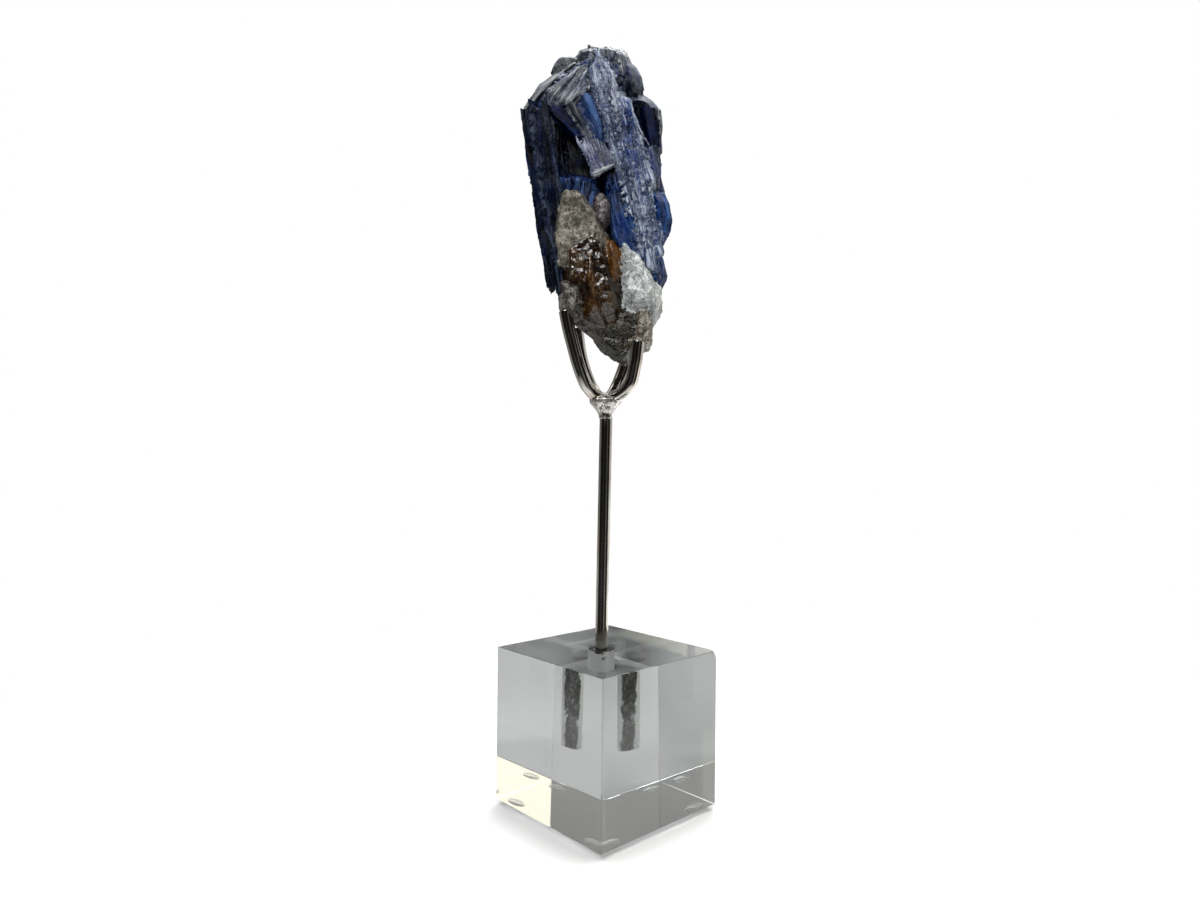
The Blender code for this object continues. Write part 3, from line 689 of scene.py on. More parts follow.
def makeStoneLook(name, look, grainGroup):
    material, tree, shader = newMaterial(name, IOR=1.5, Specular_IOR_Level=look["shine"], Coat_Weight=0.0)
    grain = addNode(tree, "ShaderNodeAttribute", attribute_name="grain").outputs["Vector"]
    # The shade attribute holds each piece's tone, a random tone for each plate and painted shade in the low spots of
    # the relief.
    shade = addNode(tree, "ShaderNodeAttribute", attribute_name="shade").outputs["Fac"]
    lines = addNode(tree, "ShaderNodeGroup", node_tree=grainGroup)
    tree.links.new(grain, lines.inputs["Vector"])
    fine, broad, mottle, cracks, paintedGlints, patches = (
        lines.outputs[key] for key in ("Fine", "Broad", "Mottle", "Cracks", "PaintedGlints", "Patches"))
    level = sums(tree, "ADD", sums(tree, "MULTIPLY", fine, 0.8), sums(tree, "MULTIPLY", broad, 0.4))
    level = sums(tree, "ADD", level, sums(tree, "MULTIPLY", mottle, 0.8))
    level = sums(tree, "ADD", level, sums(tree, "MULTIPLY", shade, 0.14))
    level = addNode(tree, "ShaderNodeMapRange", {"Value": level, "From Min": 0.76, "From Max": 1.24}).outputs[0]
    dark, mid, light = (ink(code) for code in look["tones"])
    colour = ramp(tree, level, [(0.2, dark), (0.52, mid), (0.95, light)])
    depth = ramp(tree, level, [(0.1, 0.35), (0.5, 1.0), (0.85, 0.1)])
    blue = sums(tree, "MULTIPLY", sums(tree, "MULTIPLY", patches, depth), look["blue"])
    colour = mixColour(tree, blue, colour, ink(patchBlue))
    colour = mixColour(tree, sums(tree, "MULTIPLY", cracks, 0.3), colour, light)
    # Painted highlight: small scattered specks are mixed towards a pale colour as sparkles of light.
    colour = mixColour(tree, sums(tree, "MULTIPLY", paintedGlints, 0.34 * look["paintedGlints"]), colour, ink("#cdd4de"))
    tree.links.new(colour, shader.inputs["Base Color"])
    gloss = addNode(tree, "ShaderNodeMapRange", {"Value": mottle, "From Min": 0.3, "From Max": 0.7,
                                                 "To Min": look["rough"] - 0.1, "To Max": look["rough"] + 0.22})
    tree.links.new(gloss.outputs[0], shader.inputs["Roughness"])
    height = sums(tree, "ADD", sums(tree, "MULTIPLY", fine, 0.5), sums(tree, "MULTIPLY", mottle, 0.4))
    bump(tree, shader, height, 0.00045, 0.8)
    return material


grainGroup = makeGrainGroup()
stoneFinishes = {name: makeStoneLook(name, look, grainGroup) for name, look in stoneLooks.items()}
print("stone finishes")

# An outline is the shape at mid depth as (u, z) in millimetres. Rim facets slope in from it to the
# front and back: slopes on the upper rim, under on the lower one. Lean is the grain's, in degrees,
# and crush is how far the surface breaks up into plates.
bodyLumps = dict(
    core=dict(outline=[(-26, 226), (-18, 236.4), (-8, 243), (1, 242), (7, 235), (11, 222), (13, 203),
                       (12, 182), (6, 166), (-13, 162), (-19, 185), (-24, 210)],
              front=-2.2, back=10.5, slopes=(24, 20), under=(50, 46), lean=12, finish="nightBlue", shade=-1.0),
    backPlate=dict(outline=[(-22, 222), (-16, 233), (-6, 240), (4, 237), (10, 226), (12, 200),
                            (9, 178), (-8, 170), (-17, 190)],
                   front=6, back=12.2, slopes=(10, 46), under=(10, 56), lean=12, finish="slateBlue", shade=-0.4),
)
frontLumps = dict(
    upperBody=dict(outline=[(-26, 226), (-18, 236.0), (-8, 242), (1, 242), (5, 236), (4, 228), (-2, 220),
                            (-9, 214.5), (-17, 218.5), (-24, 222)],
                   front=-8.0, back=4, slopes=(24, 10), under=(6, 10), lean=20, finish="slateBlue", shade=-0.6),
    lowerBody=dict(outline=[(-20.6, 203.6), (-13, 204.6), (-5, 203.4), (-2, 197), (0, 166), (-13, 162), (-18, 178)],
                   front=-8.4, back=4, slopes=(26, 10), under=(46, 30), lean=-8, finish="deepBlue", shade=0.1),
    # The hollow's floor takes the near-black finish as painted shade.
    hollowFloor=dict(outline=[(3, 227), (14.8, 226.4), (15.6, 219), (15.4, 205), (13.5, 198), (5, 198)],
                     front=-0.8, back=6.5, slopes=(10, 22), under=(10, 20), lean=8, finish="nightBlue", shade=-0.9),
    edgeRight=dict(outline=[(15.3, 226.8), (16.1, 226.4), (16.7, 221), (16.5, 212), (15.7, 211.6)],
                   front=-4.5, back=4.5, slopes=(12, 24), under=(10, 20), lean=3, finish="oliveBlue", shade=0.3,
                   crush=0.5),
    lobe=dict(outline=[(9, 199), (13.8, 200.4), (17.4, 199.4), (19.4, 195.6), (20.2, 191.0), (19.4, 185), (17, 181.4),
                       (11, 180)],
              front=-7.2, back=5.5, slopes=(34, 30), under=(30, 30), lean=14, finish="lobeBlue", shade=0.2,
              crush=0.7),
    tail=dict(outline=[(11.5, 184), (15.8, 182), (17.8, 177), (18.9, 171.8), (16.8, 167.4), (14, 166), (11.4, 170)],
              front=-6.4, back=5, slopes=(26, 24), under=(20, 30), lean=-10, finish="lobeBlue", shade=-0.2,
              crush=0.6),
    ribbonTop=dict(outline=[(-7.6, 243.5), (-5.6, 245.6), (-3.4, 244.5), (2.6, 236), (4.9, 229), (5.0, 224),
                            (-1.2, 213.4), (-3, 214.8), (-6.8, 226.5)],
                   front=-8.8, back=3, slopes=(26, 10), under=(8, 10), lean=12, finish="slateBlue", shade=0.5,
                   crush=0.7),
    ribbonMid=dict(outline=[(-5.8, 227), (4.9, 225), (9.7, 215.5), (12.2, 206), (8.4, 195), (3, 202), (-1.4, 213)],
                   front=-9.2, back=3, slopes=(16, 10), under=(8, 10), lean=15, finish="slateBlue", shade=0.1, crush=0.7),
    ribbonLow=dict(outline=[(0, 213), (9.4, 215.7), (12.8, 212), (13.8, 202), (13.2, 188), (11.6, 177), (8.4, 176),
                            (4.6, 192), (1.2, 203)],
                   front=-8.6, back=3, slopes=(24, 10), under=(14, 10), lean=17, finish="slateBlue", shade=-0.5),
    ribbonSide=dict(outline=[(8.6, 213), (12.4, 215.2), (15.4, 214.4), (16.4, 209), (16.2, 200), (13.6, 192), (9.4, 196)],
                    front=-6.6, back=4.5, slopes=(30, 24), under=(24, 10), lean=14, finish="slateBlue", shade=-0.9,
                    crush=0.8),
    hollowPlate=dict(outline=[(8.6, 227), (14.9, 226.9), (15.8, 222), (15.6, 212.6), (12.0, 211.0)],
                     front=-4.0, back=4.5, slopes=(14, 20), under=(10, 10), lean=4, finish="inkBlue", shade=-1.2,
                     crush=0.3),
    head=dict(outline=[(-13.2, 243.2), (-11.0, 246.0), (-7, 247.2), (-1.0, 247.4), (3.2, 246.2), (6.0, 243.2),
                       (7.4, 233), (3, 224), (-6, 226)],
              front=-7.2, back=7.5, slopes=(30, 26), under=(20, 20), lean=8, finish="silverBlue", shade=-1.0, crush=0.8),
    knobLeft=dict(outline=[(-21.0, 239.6), (-18.2, 243.8), (-13.2, 244.7), (-9.5, 243), (-11, 235), (-18, 235)],
                  front=-3.5, back=6.5, slopes=(22, 26), under=(20, 20), lean=30, finish="oliveBlue", shade=0.0,
                  crush=0.6),
    knobRight=dict(outline=[(2.6, 244.6), (5.2, 243.2), (8.0, 240.4), (9.9, 236.8), (10.6, 233.2), (9.6, 230.4),
                            (6, 229), (2, 235)],
                   front=-5.6, back=5.5, slopes=(34, 30), under=(24, 20), lean=22, finish="steelBlue", shade=-0.6,
                   crush=0.25),
    shoulder=dict(outline=[(3, 226.4), (4, 231), (10.4, 231.8), (13.4, 229.9), (16.2, 226.6), (15.4, 225.2)],
                  front=-6.4, back=8, slopes=(34, 26), under=(14, 10), lean=60, finish="steelBlue", shade=-0.1,
                  crush=0.2),
    ridge=dict(outline=[(-29.0, 226.8), (-24.0, 234.2), (-20.2, 237.3), (-12.6, 242.2), (-9.4, 241), (-20.4, 230.4),
                        (-25.8, 224.8)],
               front=-9.0, back=6, slopes=(34, 26), under=(8, 10), lean=-49, finish="oliveBlue", shade=1.0,
               crush=0.4),
    silverFace=dict(outline=[(-21.6, 224.0), (-21.6, 229.0), (-16.6, 233.2), (-11.6, 237.2), (-6.8, 238.4),
                             (-6.2, 228.6), (-12, 225.4), (-19, 223.2)],
                    front=-9.7, back=-4, slopes=(30, 5), under=(14, 5), lean=-38, finish="silverBlue", shade=-0.3, crush=1.0),
    inkPlate=dict(outline=[(-20.6, 222.6), (-17.4, 225.8), (-15.6, 225.2), (-8.4, 215.0), (-7.0, 212.2),
                           (-11.6, 213.8), (-17.6, 219.4)],
                  front=-9.8, back=-4, slopes=(16, 5), under=(14, 5), lean=43, finish="inkBlue", shade=-0.4,
                  crush=0.12),
    oliveBand=dict(outline=[(-16.4, 226.2), (-11.6, 226.6), (-5.0, 214.0), (-6.6, 211.4), (-9.0, 214.4)],
                   front=-10.6, back=-4, slopes=(30, 5), under=(30, 5), lean=34, finish="oliveBlue", shade=0.6,
                   crush=0.4),
    blueWedge=dict(outline=[(-10.6, 228.4), (-5.7, 228.0), (-1.4, 213.0), (-5.2, 213.4)],
                   front=-9.7, back=-3, slopes=(16, 5), under=(12, 5), lean=24, finish="deepBlue", shade=0.5),
    ledge=dict(outline=[(-21.6, 222.6), (-16.9, 221.4), (-16.4, 208), (-16.9, 199.4), (-19.6, 199.8)],
               front=-8.4, back=0, slopes=(16, 10), under=(10, 10), lean=5, finish="oliveBlue", shade=-1.4),
    bluePatch=dict(outline=[(-1.6, 204), (2.6, 205), (7.4, 196), (9.8, 182), (9.2, 174), (4, 176), (0, 184), (-1.6, 195)],
                   front=-8.9, back=2, slopes=(12, 10), under=(16, 10), lean=16, finish="deepBlue", shade=0.2),
)

# Upper and lower end on the centre line as (u, v, z), width, thickness, turn about the long axis and
# the slants of both ends; then the finish and its shade.
frontBlades = dict(
    # The recess blades take the near-black finish as painted shade.
    recessFloor=((-15.0, -1.4, 222), (-8.0, -2.8, 196), 8.0, 4.0, -12, 30, -20, "nightBlue", -1.4),
    recessSide=((-17.2, -3.0, 219), (-14.6, -4.4, 199), 3.0, 3.6, 24, 30, -20, "nightBlue", -0.4),
    tailBack=((11.4, 3.6, 188), (13.8, 3.0, 171), 5.6, 6.0, 30, 20, 30, "lobeBlue", -1.0),
    spike=((-7.0, -1.6, 246.6), (-6.2, -1.8, 240), 1.7, 1.8, 10, 50, 20, "oliveBlue", -0.6),
    ribbonLeft=((-5.8, -6.9, 239.4), (8.2, -7.4, 188), 4.6, 4.6, 8, -50, -34, "slateBlue", 0.5),
    ribbonMiddle=((-2.2, -6.6, 236.0), (12.2, -7.0, 180), 5.4, 4.8, -14, 46, -26, "slateBlue", 0.8),
    ribbonEdge=((4.9, -8.0, 224.6), (12.3, -7.0, 212.0), 0.6, 0.8, 20, 30, -30, "lilacBlue", 0.8),
    lipEdge=((-11.0, -10.2, 214.2), (-5.7, -10.8, 202.0), 0.55, 0.6, 20, 30, -30, "lilacBlue", 0.2),
    lipFoot=((-5.6, -10.9, 201.6), (1.2, -10.7, 205.0), 0.6, 0.7, 20, 30, -30, "silverBlue", 0.8),
    ribbonRight=((2.6, -6.0, 228.5), (11.2, -7.0, 198), 6.0, 4.6, -28, 46, 30, "slateBlue", 0.2),
    lip=((-7.6, -7.4, 218.5), (-2.2, -9.9, 203.4), 7.0, 2.2, 4, 10, 12, "lilacBlue", -0.1),
    ribbonFoot=((8.6, -7.8, 204), (13.8, -6.8, 172), 3.2, 4.6, -12, 20, -38, "slateBlue", 0.2),
)
bodyBlades = dict(
    edgeRightBack=((12.4, 4.6, 228), (13.6, 4.0, 198), 6.4, 3.4, 62, -20, 20, "slateBlue", -0.3),
)

smallBlades = dict(count=76, seed=11, low=178, high=232, turn=math.radians(22), leanLeft=math.radians(9.4),
                   leanRight=math.radians(15),
                   finishes=("slateBlue", "deepBlue", "nightBlue", "deepBlue", "slateBlue", "oliveBlue"))
# The side strips mostly take the near-black finish, which paints the shade on this side of the stack.
sideStrips = dict(top=Vector((-28.2, 0, 226.2)), foot=Vector((-18.0, 0, 162)), rowStep=Vector((2.1, 0, 0.6)),
                  rows=4, depths=(-6.4, -1.9, 2.6, 6.2), seed=3)
splinterRun = dict(count=30, seed=5, top=Vector((-0.4, -8.6, 229)), foot=Vector((11.4, -8.4, 182)))
stoneSkin = dict(soften=4, wander=1.1, seed=17, swell=0.75, swellSize=5.5,
                 plates=((2.9, 44, 0.8), (1.1, 30, 0.28), (0.5, 18, 0.08)))


def makeLump(name, outline, front, back, slopes, under):
    middle = (front + back) / 2
    bpy.ops.mesh.primitive_cube_add(size=0.4, location=(0, 0, 0.2))
    lump = newest(name)
    bpy.ops.object.transform_apply()
    openMesh(lump)
    sliceMesh(Vector((0, front, 0)) * mm, (0, -1, 0), cutAway=True)
    sliceMesh(Vector((0, back, 0)) * mm, (0, 1, 0), cutAway=True)
    centre = sum((Vector((u, 0, z)) for u, z in outline), Vector()) / len(outline)
    for (u, z), (nextU, nextZ) in zip(outline, [*outline[1:], outline[0]]):
        outward = Vector((z - nextZ, 0, nextU - u)).normalized()
        if outward.dot(Vector((u, 0, z)) - centre) < 0:
            outward.negate()
        for slope, side in zip(under if outward.z < -0.5 else slopes, (-1, 1)):
            tilt = math.radians(slope)
            sliceMesh(Vector((u, middle, z)) * mm,
                      outward * math.cos(tilt) + Vector((0, side, 0)) * math.sin(tilt), cutAway=True)
    closeMesh()
    return lump


def bladePlace(upper, lower, turn):
    along = (upper - lower).normalized()
    across = Vector((0, 1, 0)).cross(along).normalized()
    axes = Matrix((across, along.cross(across), along)).transposed().to_4x4()
    return Matrix.Translation((upper + lower) / 2 * mm) @ axes @ Matrix.Rotation(turn, 4, "Z")


def makeBlade(name, upper, lower, width, thickness, turn, slants, bevel):
    half = (upper - lower).length / 2
    bpy.ops.mesh.primitive_cube_add(size=1)
    blade = newest(name)
    blade.scale = Vector((width, thickness, 2 * half + 4 * width)) * mm
    bpy.ops.object.transform_apply()
    openMesh(blade)
    for side, slant in ((1, slants[0]), (-1, slants[1])):
        sliceMesh((0, 0, side * half * mm), Vector((math.sin(slant), -0.35, side * math.cos(slant))).normalized(),
                  cutAway=True)
    sliceMesh(Vector((width * 0.5, -thickness * bevel, 0)) * mm, Vector((0.5, -0.8, 0)).normalized(), cutAway=True)
    sliceMesh(Vector((-width * 0.5, -thickness * (0.5 - bevel), 0)) * mm, Vector((-0.6, -0.7, 0)).normalized(),
              cutAway=True)
    closeMesh()
    blade.data.transform(bladePlace(upper, lower, turn))
    return blade


def grainOf(lean, turn=0.0):
    return Matrix.Rotation(-math.radians(lean), 3, "Y") @ Matrix.Rotation(turn, 3, "Z")


def lumpShapes(table):
    for name, spec in table.items():
        spec = dict(crush=1.0, **spec) if "crush" not in spec else dict(spec)
        kind = dict(axes=grainOf(spec.pop("lean")), finish=spec.pop("finish"), shade=spec.pop("shade"),
                    crush=spec.pop("crush"))
        yield makeLump(name, **spec), kind


def bladeShape(name, upper, lower, width, thickness, turn, slants, bevel, finish, shade, crush=1.0):
    axes = bladePlace(upper, lower, turn).to_3x3()
    return (makeBlade(name, upper, lower, width, thickness, turn, slants, bevel),
            dict(axes=axes, finish=finish, shade=shade, crush=crush))


def tableBlades(table):
    for order, (name, (upper, lower, width, thickness, turn, *slants, finish, shade)) in enumerate(table.items()):
        yield bladeShape(name, Vector(upper), Vector(lower), width, thickness, math.radians(turn),
                         [math.radians(slant) for slant in slants], 0.1 + 0.06 * (order % 5), finish, shade)


def roofAt(u):
    return 245 - max(0, -9 - u) * 0.95 - max(0, u + 1) * 1.2


def smallBladeShapes():
    chance = random.Random(smallBlades["seed"])
    tint = random.Random(smallBlades["seed"] + 1)
    low, high = smallBlades["low"], smallBlades["high"]
    for order in range(smallBlades["count"]):
        around = chance.uniform(0.04, 1.1) * math.pi
        height = chance.uniform(low, high)
        share = (height - low) / (high - low)
        reach = Vector((14.2 + 4.5 * share, 12.0))
        u = -3.6 - 2.4 * share + reach.x * math.cos(around)
        v = reach.y * math.sin(around)
        lean = smallBlades["leanLeft"] + (smallBlades["leanRight"] - smallBlades["leanLeft"]) * (u + 25) / 40
        half = chance.uniform(9, 19)
        middle = Vector((u, v, min(height, roofAt(u) - 4 - half)))
        run = Vector((-math.sin(lean), 0, math.cos(lean))) * half
        facing = math.atan2(reach.x * math.sin(around), reach.y * math.cos(around)) + math.pi / 2
        turn = facing + chance.uniform(-smallBlades["turn"], smallBlades["turn"])
        slants = [math.radians(chance.uniform(-50, 50)) for end in range(2)]
        width, thickness, bevel = chance.uniform(4.5, 8), chance.uniform(2.2, 3.8), chance.uniform(0.05, 0.4)
        yield bladeShape("smallBlade", middle + run, middle - run, width, thickness, turn, slants, bevel,
                         tint.choice(smallBlades["finishes"]), tint.uniform(-1, 1))


def sideStripShapes():
    chance = random.Random(sideStrips["seed"])
    tint = random.Random(sideStrips["seed"] + 1)
    for row in range(sideStrips["rows"]):
        for depth in sideStrips["depths"]:
            offset = sideStrips["rowStep"] * row + Vector((chance.uniform(-0.5, 0.5), depth, 0))
            offset.x += 0.05 * abs(depth) ** 1.4
            upper = sideStrips["top"] + offset - Vector((-0.16, 0, 1)) * chance.uniform(0, 5)
            lower = sideStrips["foot"] + offset + Vector((-0.16, 0, 1)) * chance.uniform(0, 14)
            turn = math.radians(82 + chance.uniform(-14, 14))
            slants = [math.radians(chance.uniform(-36, 36)) * share for share in (0.4, 1.0)]
            width, thickness, bevel = chance.uniform(5.6, 7.2), chance.uniform(2.0, 3.0), chance.uniform(0.1, 0.4)
            yield bladeShape("sideStrip", upper, lower, width, thickness, turn, slants, bevel,
                             tint.choice(("nightBlue", "nightBlue", "nightBlue", "deepBlue")), tint.uniform(-1, 0.9))


def splinterShapes():
    chance = random.Random(splinterRun["seed"])
    tint = random.Random(splinterRun["seed"] + 1)
    top, foot = splinterRun["top"], splinterRun["foot"]
    run = (top - foot).normalized()
    for order in range(splinterRun["count"]):
        share = chance.uniform(0.05, 0.95)
        half = chance.uniform(5, 13)
        middle = foot.lerp(top, share)
        middle.x += chance.uniform(-1, 1) * (5.6 - 2.4 * share)
        middle.y += abs(middle.x - foot.lerp(top, share).x) * 0.24 + chance.uniform(0, 0.8)
        turn, *slants = (math.radians(chance.uniform(-reach, reach)) for reach in (24, 60, 60))
        width, thickness, bevel = chance.uniform(1.3, 3.2), chance.uniform(1.6, 2.6), chance.uniform(0.05, 0.4)
        yield bladeShape("splinter", middle + run * half, middle - run * half, width, thickness, turn, slants, bevel,
                         tint.choice(("slateBlue", "slateBlue", "lilacBlue")), tint.uniform(-0.8, 1.2))


def gatherTree(things):
    spots, faces, owners = [], [], []
    for order, thing in enumerate(things):
        base = len(spots)
        spots += [vertex.co.copy() for vertex in thing.data.vertices]
        faces += [[base + corner for corner in face.vertices] for face in thing.data.polygons]
        owners += [order] * len(thing.data.polygons)
    return BVHTree.FromPolygons(spots, faces), owners


def growTogether(name, voxel, shapes):
    """"""
    things, kinds = zip(*shapes)
    nearest, owners = gatherTree(things)
    stone = joinAs(name, list(things))
    skin = stone.modifiers.new("skin", "REMESH")
    skin.mode = "VOXEL"
    skin.voxel_size = voxel * mm
    soften = stone.modifiers.new("soften", "SMOOTH")
    soften.iterations = stoneSkin["soften"]
    applyAll(stone)
    mesh = stone.data
    chance = random.Random(stoneSkin["seed"])
    shifts = [Vector((chance.uniform(-90, 90), chance.uniform(-90, 90), chance.uniform(-90, 90))) for kind in kinds]
    turns = [kind["axes"].transposed() for kind in kinds]
    grains, toneAndCreviceShade, owned, moved = [], [], [], []
    for vertex in mesh.vertices:
        spot = vertex.co / mm
        owner = owners[nearest.find_nearest(vertex.co + noise.noise_vector(spot / 1.6) * stoneSkin["wander"] * mm)[2]]
        kind = kinds[owner]
        grain = turns[owner] @ spot + shifts[owner]
        rise, tone = noise.noise(spot / stoneSkin["swellSize"]) * stoneSkin["swell"], 0.0
        for across, along, amount in stoneSkin["plates"]:
            where = Vector((grain.x / across, grain.y / across, grain.z / along))
            centre = noise.voronoi(where)[1][0]
            tilt = noise.cell_vector(centre * 13.7) * 2 - Vector((1, 1, 1))
            away = where - centre
            rise += (away.x * tilt.x + away.y * tilt.y + away.z * tilt.z * 0.5 + tilt.z * 0.3) * amount
            tone += tilt.y * amount
        moved.append(vertex.co + vertex.normal * rise * kind["crush"] * mm)
        grains.append(grain)
        # Painted shade: besides the piece's tone and a random tone for each plate, the lower spots of the relief are
        # darker.
        toneAndCreviceShade.append(kind["shade"] + tone * 0.7 + rise * 0.5)
        owned.append(owner)
    mesh.vertices.foreach_set("co", np.array(moved).ravel())
    mesh.attributes.new("grain", "FLOAT_VECTOR", "POINT").data.foreach_set("vector", np.array(grains).ravel())
    mesh.attributes.new("shade", "FLOAT", "POINT").data.foreach_set("value", toneAndCreviceShade)
    names = sorted({kind["finish"] for kind in kinds})
    mesh.materials.clear()
    for finish in names:
        mesh.materials.append(stoneFinishes[finish])
    for face in mesh.polygons:
        face.material_index = names.index(kinds[owned[face.vertices[0]]]["finish"])
    settle = stone.modifiers.new("settle", "SMOOTH")
    settle.iterations = 1
    applyAll(stone)
    smoothBy(stone, 32)
    return stone


kyaniteBody = growTogether("kyaniteBody", 0.4, [*lumpShapes(bodyLumps), *tableBlades(bodyBlades), *sideStripShapes(),
                                           *smallBladeShapes()])
print("kyanite body", len(kyaniteBody.data.polygons))
kyaniteFront = growTogether("kyaniteFront", 0.375, [*lumpShapes(frontLumps), *tableBlades(frontBlades), *splinterShapes()])
print("kyanite front", len(kyaniteFront.data.polygons))

# ---- quartz and mica matrix, grown on the blades' lower end

matrixLumps = dict(
    paleWedge=dict(outline=[(-17.2, 194.6), (-15.1, 198.4), (-11.2, 198.0), (-8.2, 196.7), (-3.2, 189.7),
                            (0.2, 182), (-1.5, 173), (-11, 170), (-17.4, 172), (-18.6, 183)],
                   front=-11.8, back=0, slopes=(22, 5), under=(30, 5), finish="paleQuartz", rough=0.8),
    smokyQuartz=dict(outline=[(-17.6, 181), (-11.3, 185.5), (-4.5, 189), (-0.5, 186.2), (3.4, 176.5),
                              (5.6, 168), (6.0, 159.5), (3.2, 151.4), (-3.8, 149.6), (-9.0, 153.6),
                              (-14.6, 158.2), (-16.6, 163.1), (-17.6, 170)],
                     front=-12.6, back=9.5, slopes=(26, 24), under=(44, 48), finish="smokyQuartz", rough=0.35),
    smokyRise=dict(outline=[(-9, 188), (-4.8, 187), (-1.8, 181.5), (-1.0, 171), (0.8, 162), (-1, 153.5), (-8, 156),
                            (-11, 170)],
                   front=-13.6, back=0, slopes=(34, 10), under=(40, 10), finish="brownQuartz", rough=0.2),
    silveryLow=dict(outline=[(-17.0, 168), (-13.2, 170.4), (-8.2, 166.6), (-7.4, 159.5), (-11, 156.6), (-15.6, 159.6)],
                    front=-12.7, back=0, slopes=(24, 5), under=(20, 5), finish="mossQuartz", rough=1.0),
    amberLens=dict(outline=[(-1.8, 182.6), (1.6, 181.8), (3.7, 177.4), (4.0, 172.4), (2.8, 168.4), (0, 167.6),
                            (-1.8, 174)],
                   front=-13.3, back=-2, slopes=(30, 5), under=(30, 5), finish="amberQuartz", rough=0.05),
    micaPatch=dict(outline=[(0.2, 188.4), (3.6, 185.4), (9.8, 180.2), (14.6, 173.4), (16.8, 167.0),
                            (16.8, 160.5), (14.4, 155.6), (8.5, 153.6), (3, 156), (1.4, 172)],
                   front=-11.0, back=8.5, slopes=(22, 22), under=(40, 50), finish="whiteMica", rough=1.0),
    smokyFoot=dict(outline=[(-16.2, 161.6), (-9.8, 155.0), (-6.8, 152.4), (3, 148.4), (9, 149.6),
                            (12, 155), (8, 168), (-14.6, 168)],
                   front=-7.0, back=6.0, slopes=(12, 14), under=(30, 26), finish="darkMatrix", rough=0.6),
    footTip=dict(outline=[(-5.2, 150.4), (-3.1, 147.4), (0.2, 145.2), (3.0, 143.3), (6.4, 142.5), (8.8, 146.4),
                          (8.4, 158), (-6, 158)],
                 front=-5.2, back=5.2, slopes=(10, 12), under=(26, 30), finish="darkMatrix", rough=0.6),
    knobLow=dict(outline=[(6.8, 152.0), (11.4, 150.9), (13.8, 153.4), (13.8, 157.6), (15.6, 160.4),
                          (8, 163)],
                 front=-8.6, back=5.0, slopes=(20, 20), under=(6, 20), finish="crumbMatrix", rough=1.0),
    knobTail=dict(outline=[(5.8, 149.0), (9.4, 147.2), (12.6, 147.6), (13.9, 150.2), (13.8, 156), (7, 158)],
                  front=-5.8, back=4.6, slopes=(14, 20), under=(14, 20), finish="crumbMatrix", rough=0.9),
    brownFlake=dict(outline=[(-5.8, 194.9), (-3.0, 197.2), (-0.2, 194.6), (0.1, 189.2), (-1.4, 184.4), (-4.6, 187)],
                    front=-11.6, back=-4, slopes=(18, 5), under=(18, 5), finish="brownMica", rough=0.5),
)
matrixLooks = dict(
    paleQuartz=dict(tones=("#1c160b", "#4f4a3e", "#aaa599"), gloss=(0.42, 0.62), clear=0.0, size=1.3),
    smokyQuartz=dict(tones=("#030100", "#1e0f04", "#59452b"), gloss=(0.04, 0.22), clear=0.15, size=0.6),
    brownQuartz=dict(tones=("#0d0500", "#38200b", "#80603c"), gloss=(0.04, 0.24), clear=0.25, size=0.5),
    mossQuartz=dict(tones=("#070500", "#2f2b22", "#9d998e"), gloss=(0.28, 0.5), clear=0.0, size=1.1),
    amberQuartz=dict(tones=("#2a1603", "#5a3510", "#9a6f3a"), gloss=(0.03, 0.1), clear=0.4, size=0.4),
    whiteMica=dict(tones=("#4a5052", "#b0b6b5", "#fbfdfd"), gloss=(0.25, 0.5), clear=0.0, size=1.5),
    darkMatrix=dict(tones=("#030200", "#120f06", "#464031"), gloss=(0.1, 0.45), clear=0.1, size=1.0),
    crumbMatrix=dict(tones=("#1d1810", "#665c4e", "#d8d2c8"), gloss=(0.2, 0.6), clear=0.0, size=1.4),
    brownMica=dict(tones=("#150f0e", "#393031", "#7d7475"), gloss=(0.2, 0.45), clear=0.0, size=0.9),
)
matrixSkin = dict(voxel=0.35 * mm, soften=4, wander=1.1, plates=((3.0, 0.85), (1.3, 0.36)))


def makeCrystalGroup():
    group, given, made = newGroup("crystalMottle", [("Vector", "NodeSocketVector", None),
                                                    ("Size", "NodeSocketFloat", 1.0)],
                                  [("Mottle", "NodeSocketFloat"), ("Grains", "NodeSocketFloat"),
                                   ("Glints", "NodeSocketFloat")])
    spot = addNode(group, "ShaderNodeVectorMath", {0: given["Vector"]}, operation="SCALE")
    group.links.new(sums(group, "MULTIPLY", given["Size"], 1000.0), spot.inputs["Scale"])
    spot = spot.outputs[0]
    cloud = noiseAt(group, scaled(group, spot, (0.3, 0.3, 0.22)), detail=5, rough=0.6, warp=0.8)
    cells = addNode(group, "ShaderNodeTexVoronoi", {"Vector": scaled(group, spot, (2.6, 2.6, 1.6), (0.4, 0.3, 0)),
                                                    "Scale": 1.0})
    cellTone = addNode(group, "ShaderNodeSeparateColor", {0: cells.outputs["Color"]}).outputs
    fine = noiseAt(group, scaled(group, spot, (3, 3, 2.4)), detail=3)
    mottle = sums(group, "ADD", sums(group, "MULTIPLY", cloud, 0.7), sums(group, "MULTIPLY", fine, 0.3))
    group.links.new(mottle, made["Mottle"])
    group.links.new(cellTone[1], made["Grains"])
    group.links.new(ramp(group, cellTone[0], [(0.0, 0.0), (0.84, 0.0), (0.9, 1.0)]), made["Glints"])
    return group


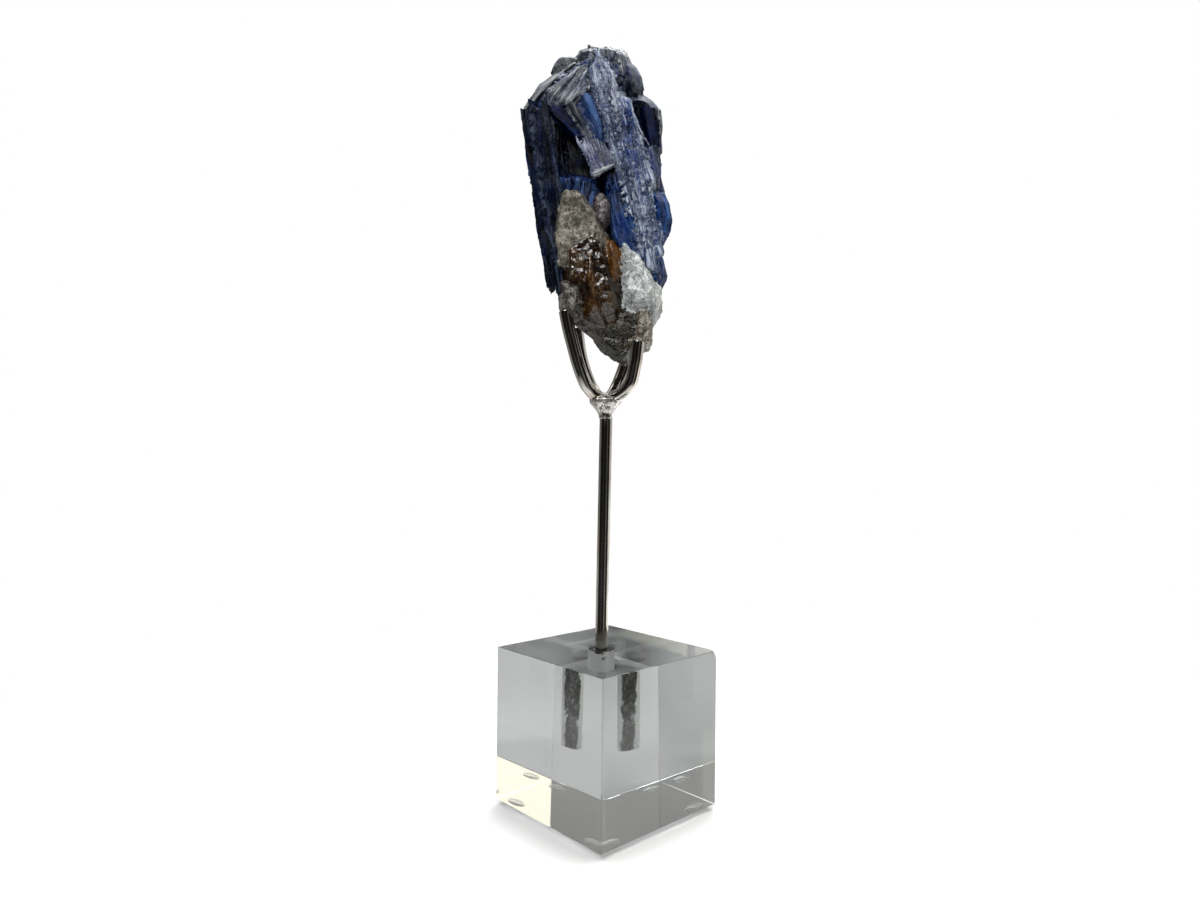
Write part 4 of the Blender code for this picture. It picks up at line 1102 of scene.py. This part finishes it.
def makeMatrixLook(name, look, mottleGroup):
    material, tree, shader = newMaterial(name, IOR=1.54, Transmission_Weight=look["clear"], Coat_Weight=0.06,
                                         Coat_Roughness=0.08)
    parts = addNode(tree, "ShaderNodeGroup", node_tree=mottleGroup)
    tree.links.new(placeCoords(tree), parts.inputs["Vector"])
    parts.inputs["Size"].default_value = look["size"]
    mottle, grains, glints = (parts.outputs[key] for key in ("Mottle", "Grains", "Glints"))
    level = sums(tree, "ADD", sums(tree, "MULTIPLY", mottle, 1.6),
                 sums(tree, "MULTIPLY", grains, 0.12 * look["size"]))
    middle = 0.8 + 0.06 * look["size"]
    level = addNode(tree, "ShaderNodeMapRange", {"Value": level, "From Min": middle - 0.34,
                                                 "From Max": middle + 0.34}).outputs[0]
    dark, mid, light = (ink(code) for code in look["tones"])
    colour = ramp(tree, level, [(0.15, dark), (0.5, mid), (0.9, light)])
    colour = mixColour(tree, sums(tree, "MULTIPLY", glints, 0.35), colour, light)
    tree.links.new(colour, shader.inputs["Base Color"])
    low, high = look["gloss"]
    tree.links.new(ramp(tree, grains, [(0.2, low), (0.8, high)]), shader.inputs["Roughness"])
    bump(tree, shader, level, 0.0004 * look["size"], 0.6)
    return material


mottleGroup = makeCrystalGroup()
matrixFinishes = {name: makeMatrixLook(name, look, mottleGroup) for name, look in matrixLooks.items()}


def platyHeight(spot, size, amount, seed):
    """"""
    where = spot / (size * mm) + Vector((seed * 7.3, seed * 3.1, seed * 1.7))
    centre = noise.voronoi(where)[1][0]
    tilt = noise.cell_vector(centre * 13.7)
    return ((where - centre).dot(tilt) + (tilt.x + tilt.z) * 0.22) * amount * mm


def facePlanes(thing):
    faces = thing.data.polygons
    normals = np.array([face.normal for face in faces])
    centres = np.array([face.center for face in faces])
    return normals, (normals * centres).sum(axis=1)


def nearestLumps(mesh, planes):
    spots = np.array([vertex.co + noise.noise_vector(vertex.co / (1.4 * mm)) * matrixSkin["wander"] * mm
                      for vertex in mesh.vertices])
    depths = [(spots @ normals.T - offsets).max(axis=1) for normals, offsets in planes]
    return np.argmin(depths, axis=0)


def makeMatrix():
    lumps, planes, looks = [], [], []
    for name, spec in matrixLumps.items():
        spec = dict(spec)
        looks.append((spec.pop("finish"), spec.pop("rough")))
        lump = makeLump(name, **spec)
        planes.append(facePlanes(lump))
        lumps.append(lump)
    matrix = joinAs("quartzMatrix", lumps)
    skin = matrix.modifiers.new("crystalSkin", "REMESH")
    skin.mode = "VOXEL"
    skin.voxel_size = matrixSkin["voxel"]
    soften = matrix.modifiers.new("soften", "SMOOTH")
    soften.iterations = matrixSkin["soften"]
    applyAll(matrix)
    mesh = matrix.data
    kinds = nearestLumps(mesh, planes)
    normals = [vertex.normal.copy() for vertex in mesh.vertices]
    for vertex, kind, normal in zip(mesh.vertices, kinds, normals):
        rise = sum(platyHeight(vertex.co, size, amount, order + 1)
                   for order, (size, amount) in enumerate(matrixSkin["plates"]))
        vertex.co += normal * rise * looks[kind][1]
    settle = matrix.modifiers.new("settle", "SMOOTH")
    settle.iterations = 2
    names = sorted(matrixFinishes)
    mesh.materials.clear()
    for name in names:
        mesh.materials.append(matrixFinishes[name])
    for face in mesh.polygons:
        face.material_index = names.index(looks[kinds[face.vertices[0]]][0])
    applyAll(matrix)
    smoothBy(matrix, 42)
    return matrix


matrix = makeMatrix()
print("quartz and mica matrix", len(matrix.data.polygons))

for piece in (kyaniteBody, kyaniteFront, matrix):
    finishPiece(piece, "kyanite", "kyanite_cluster", place=standPlace)
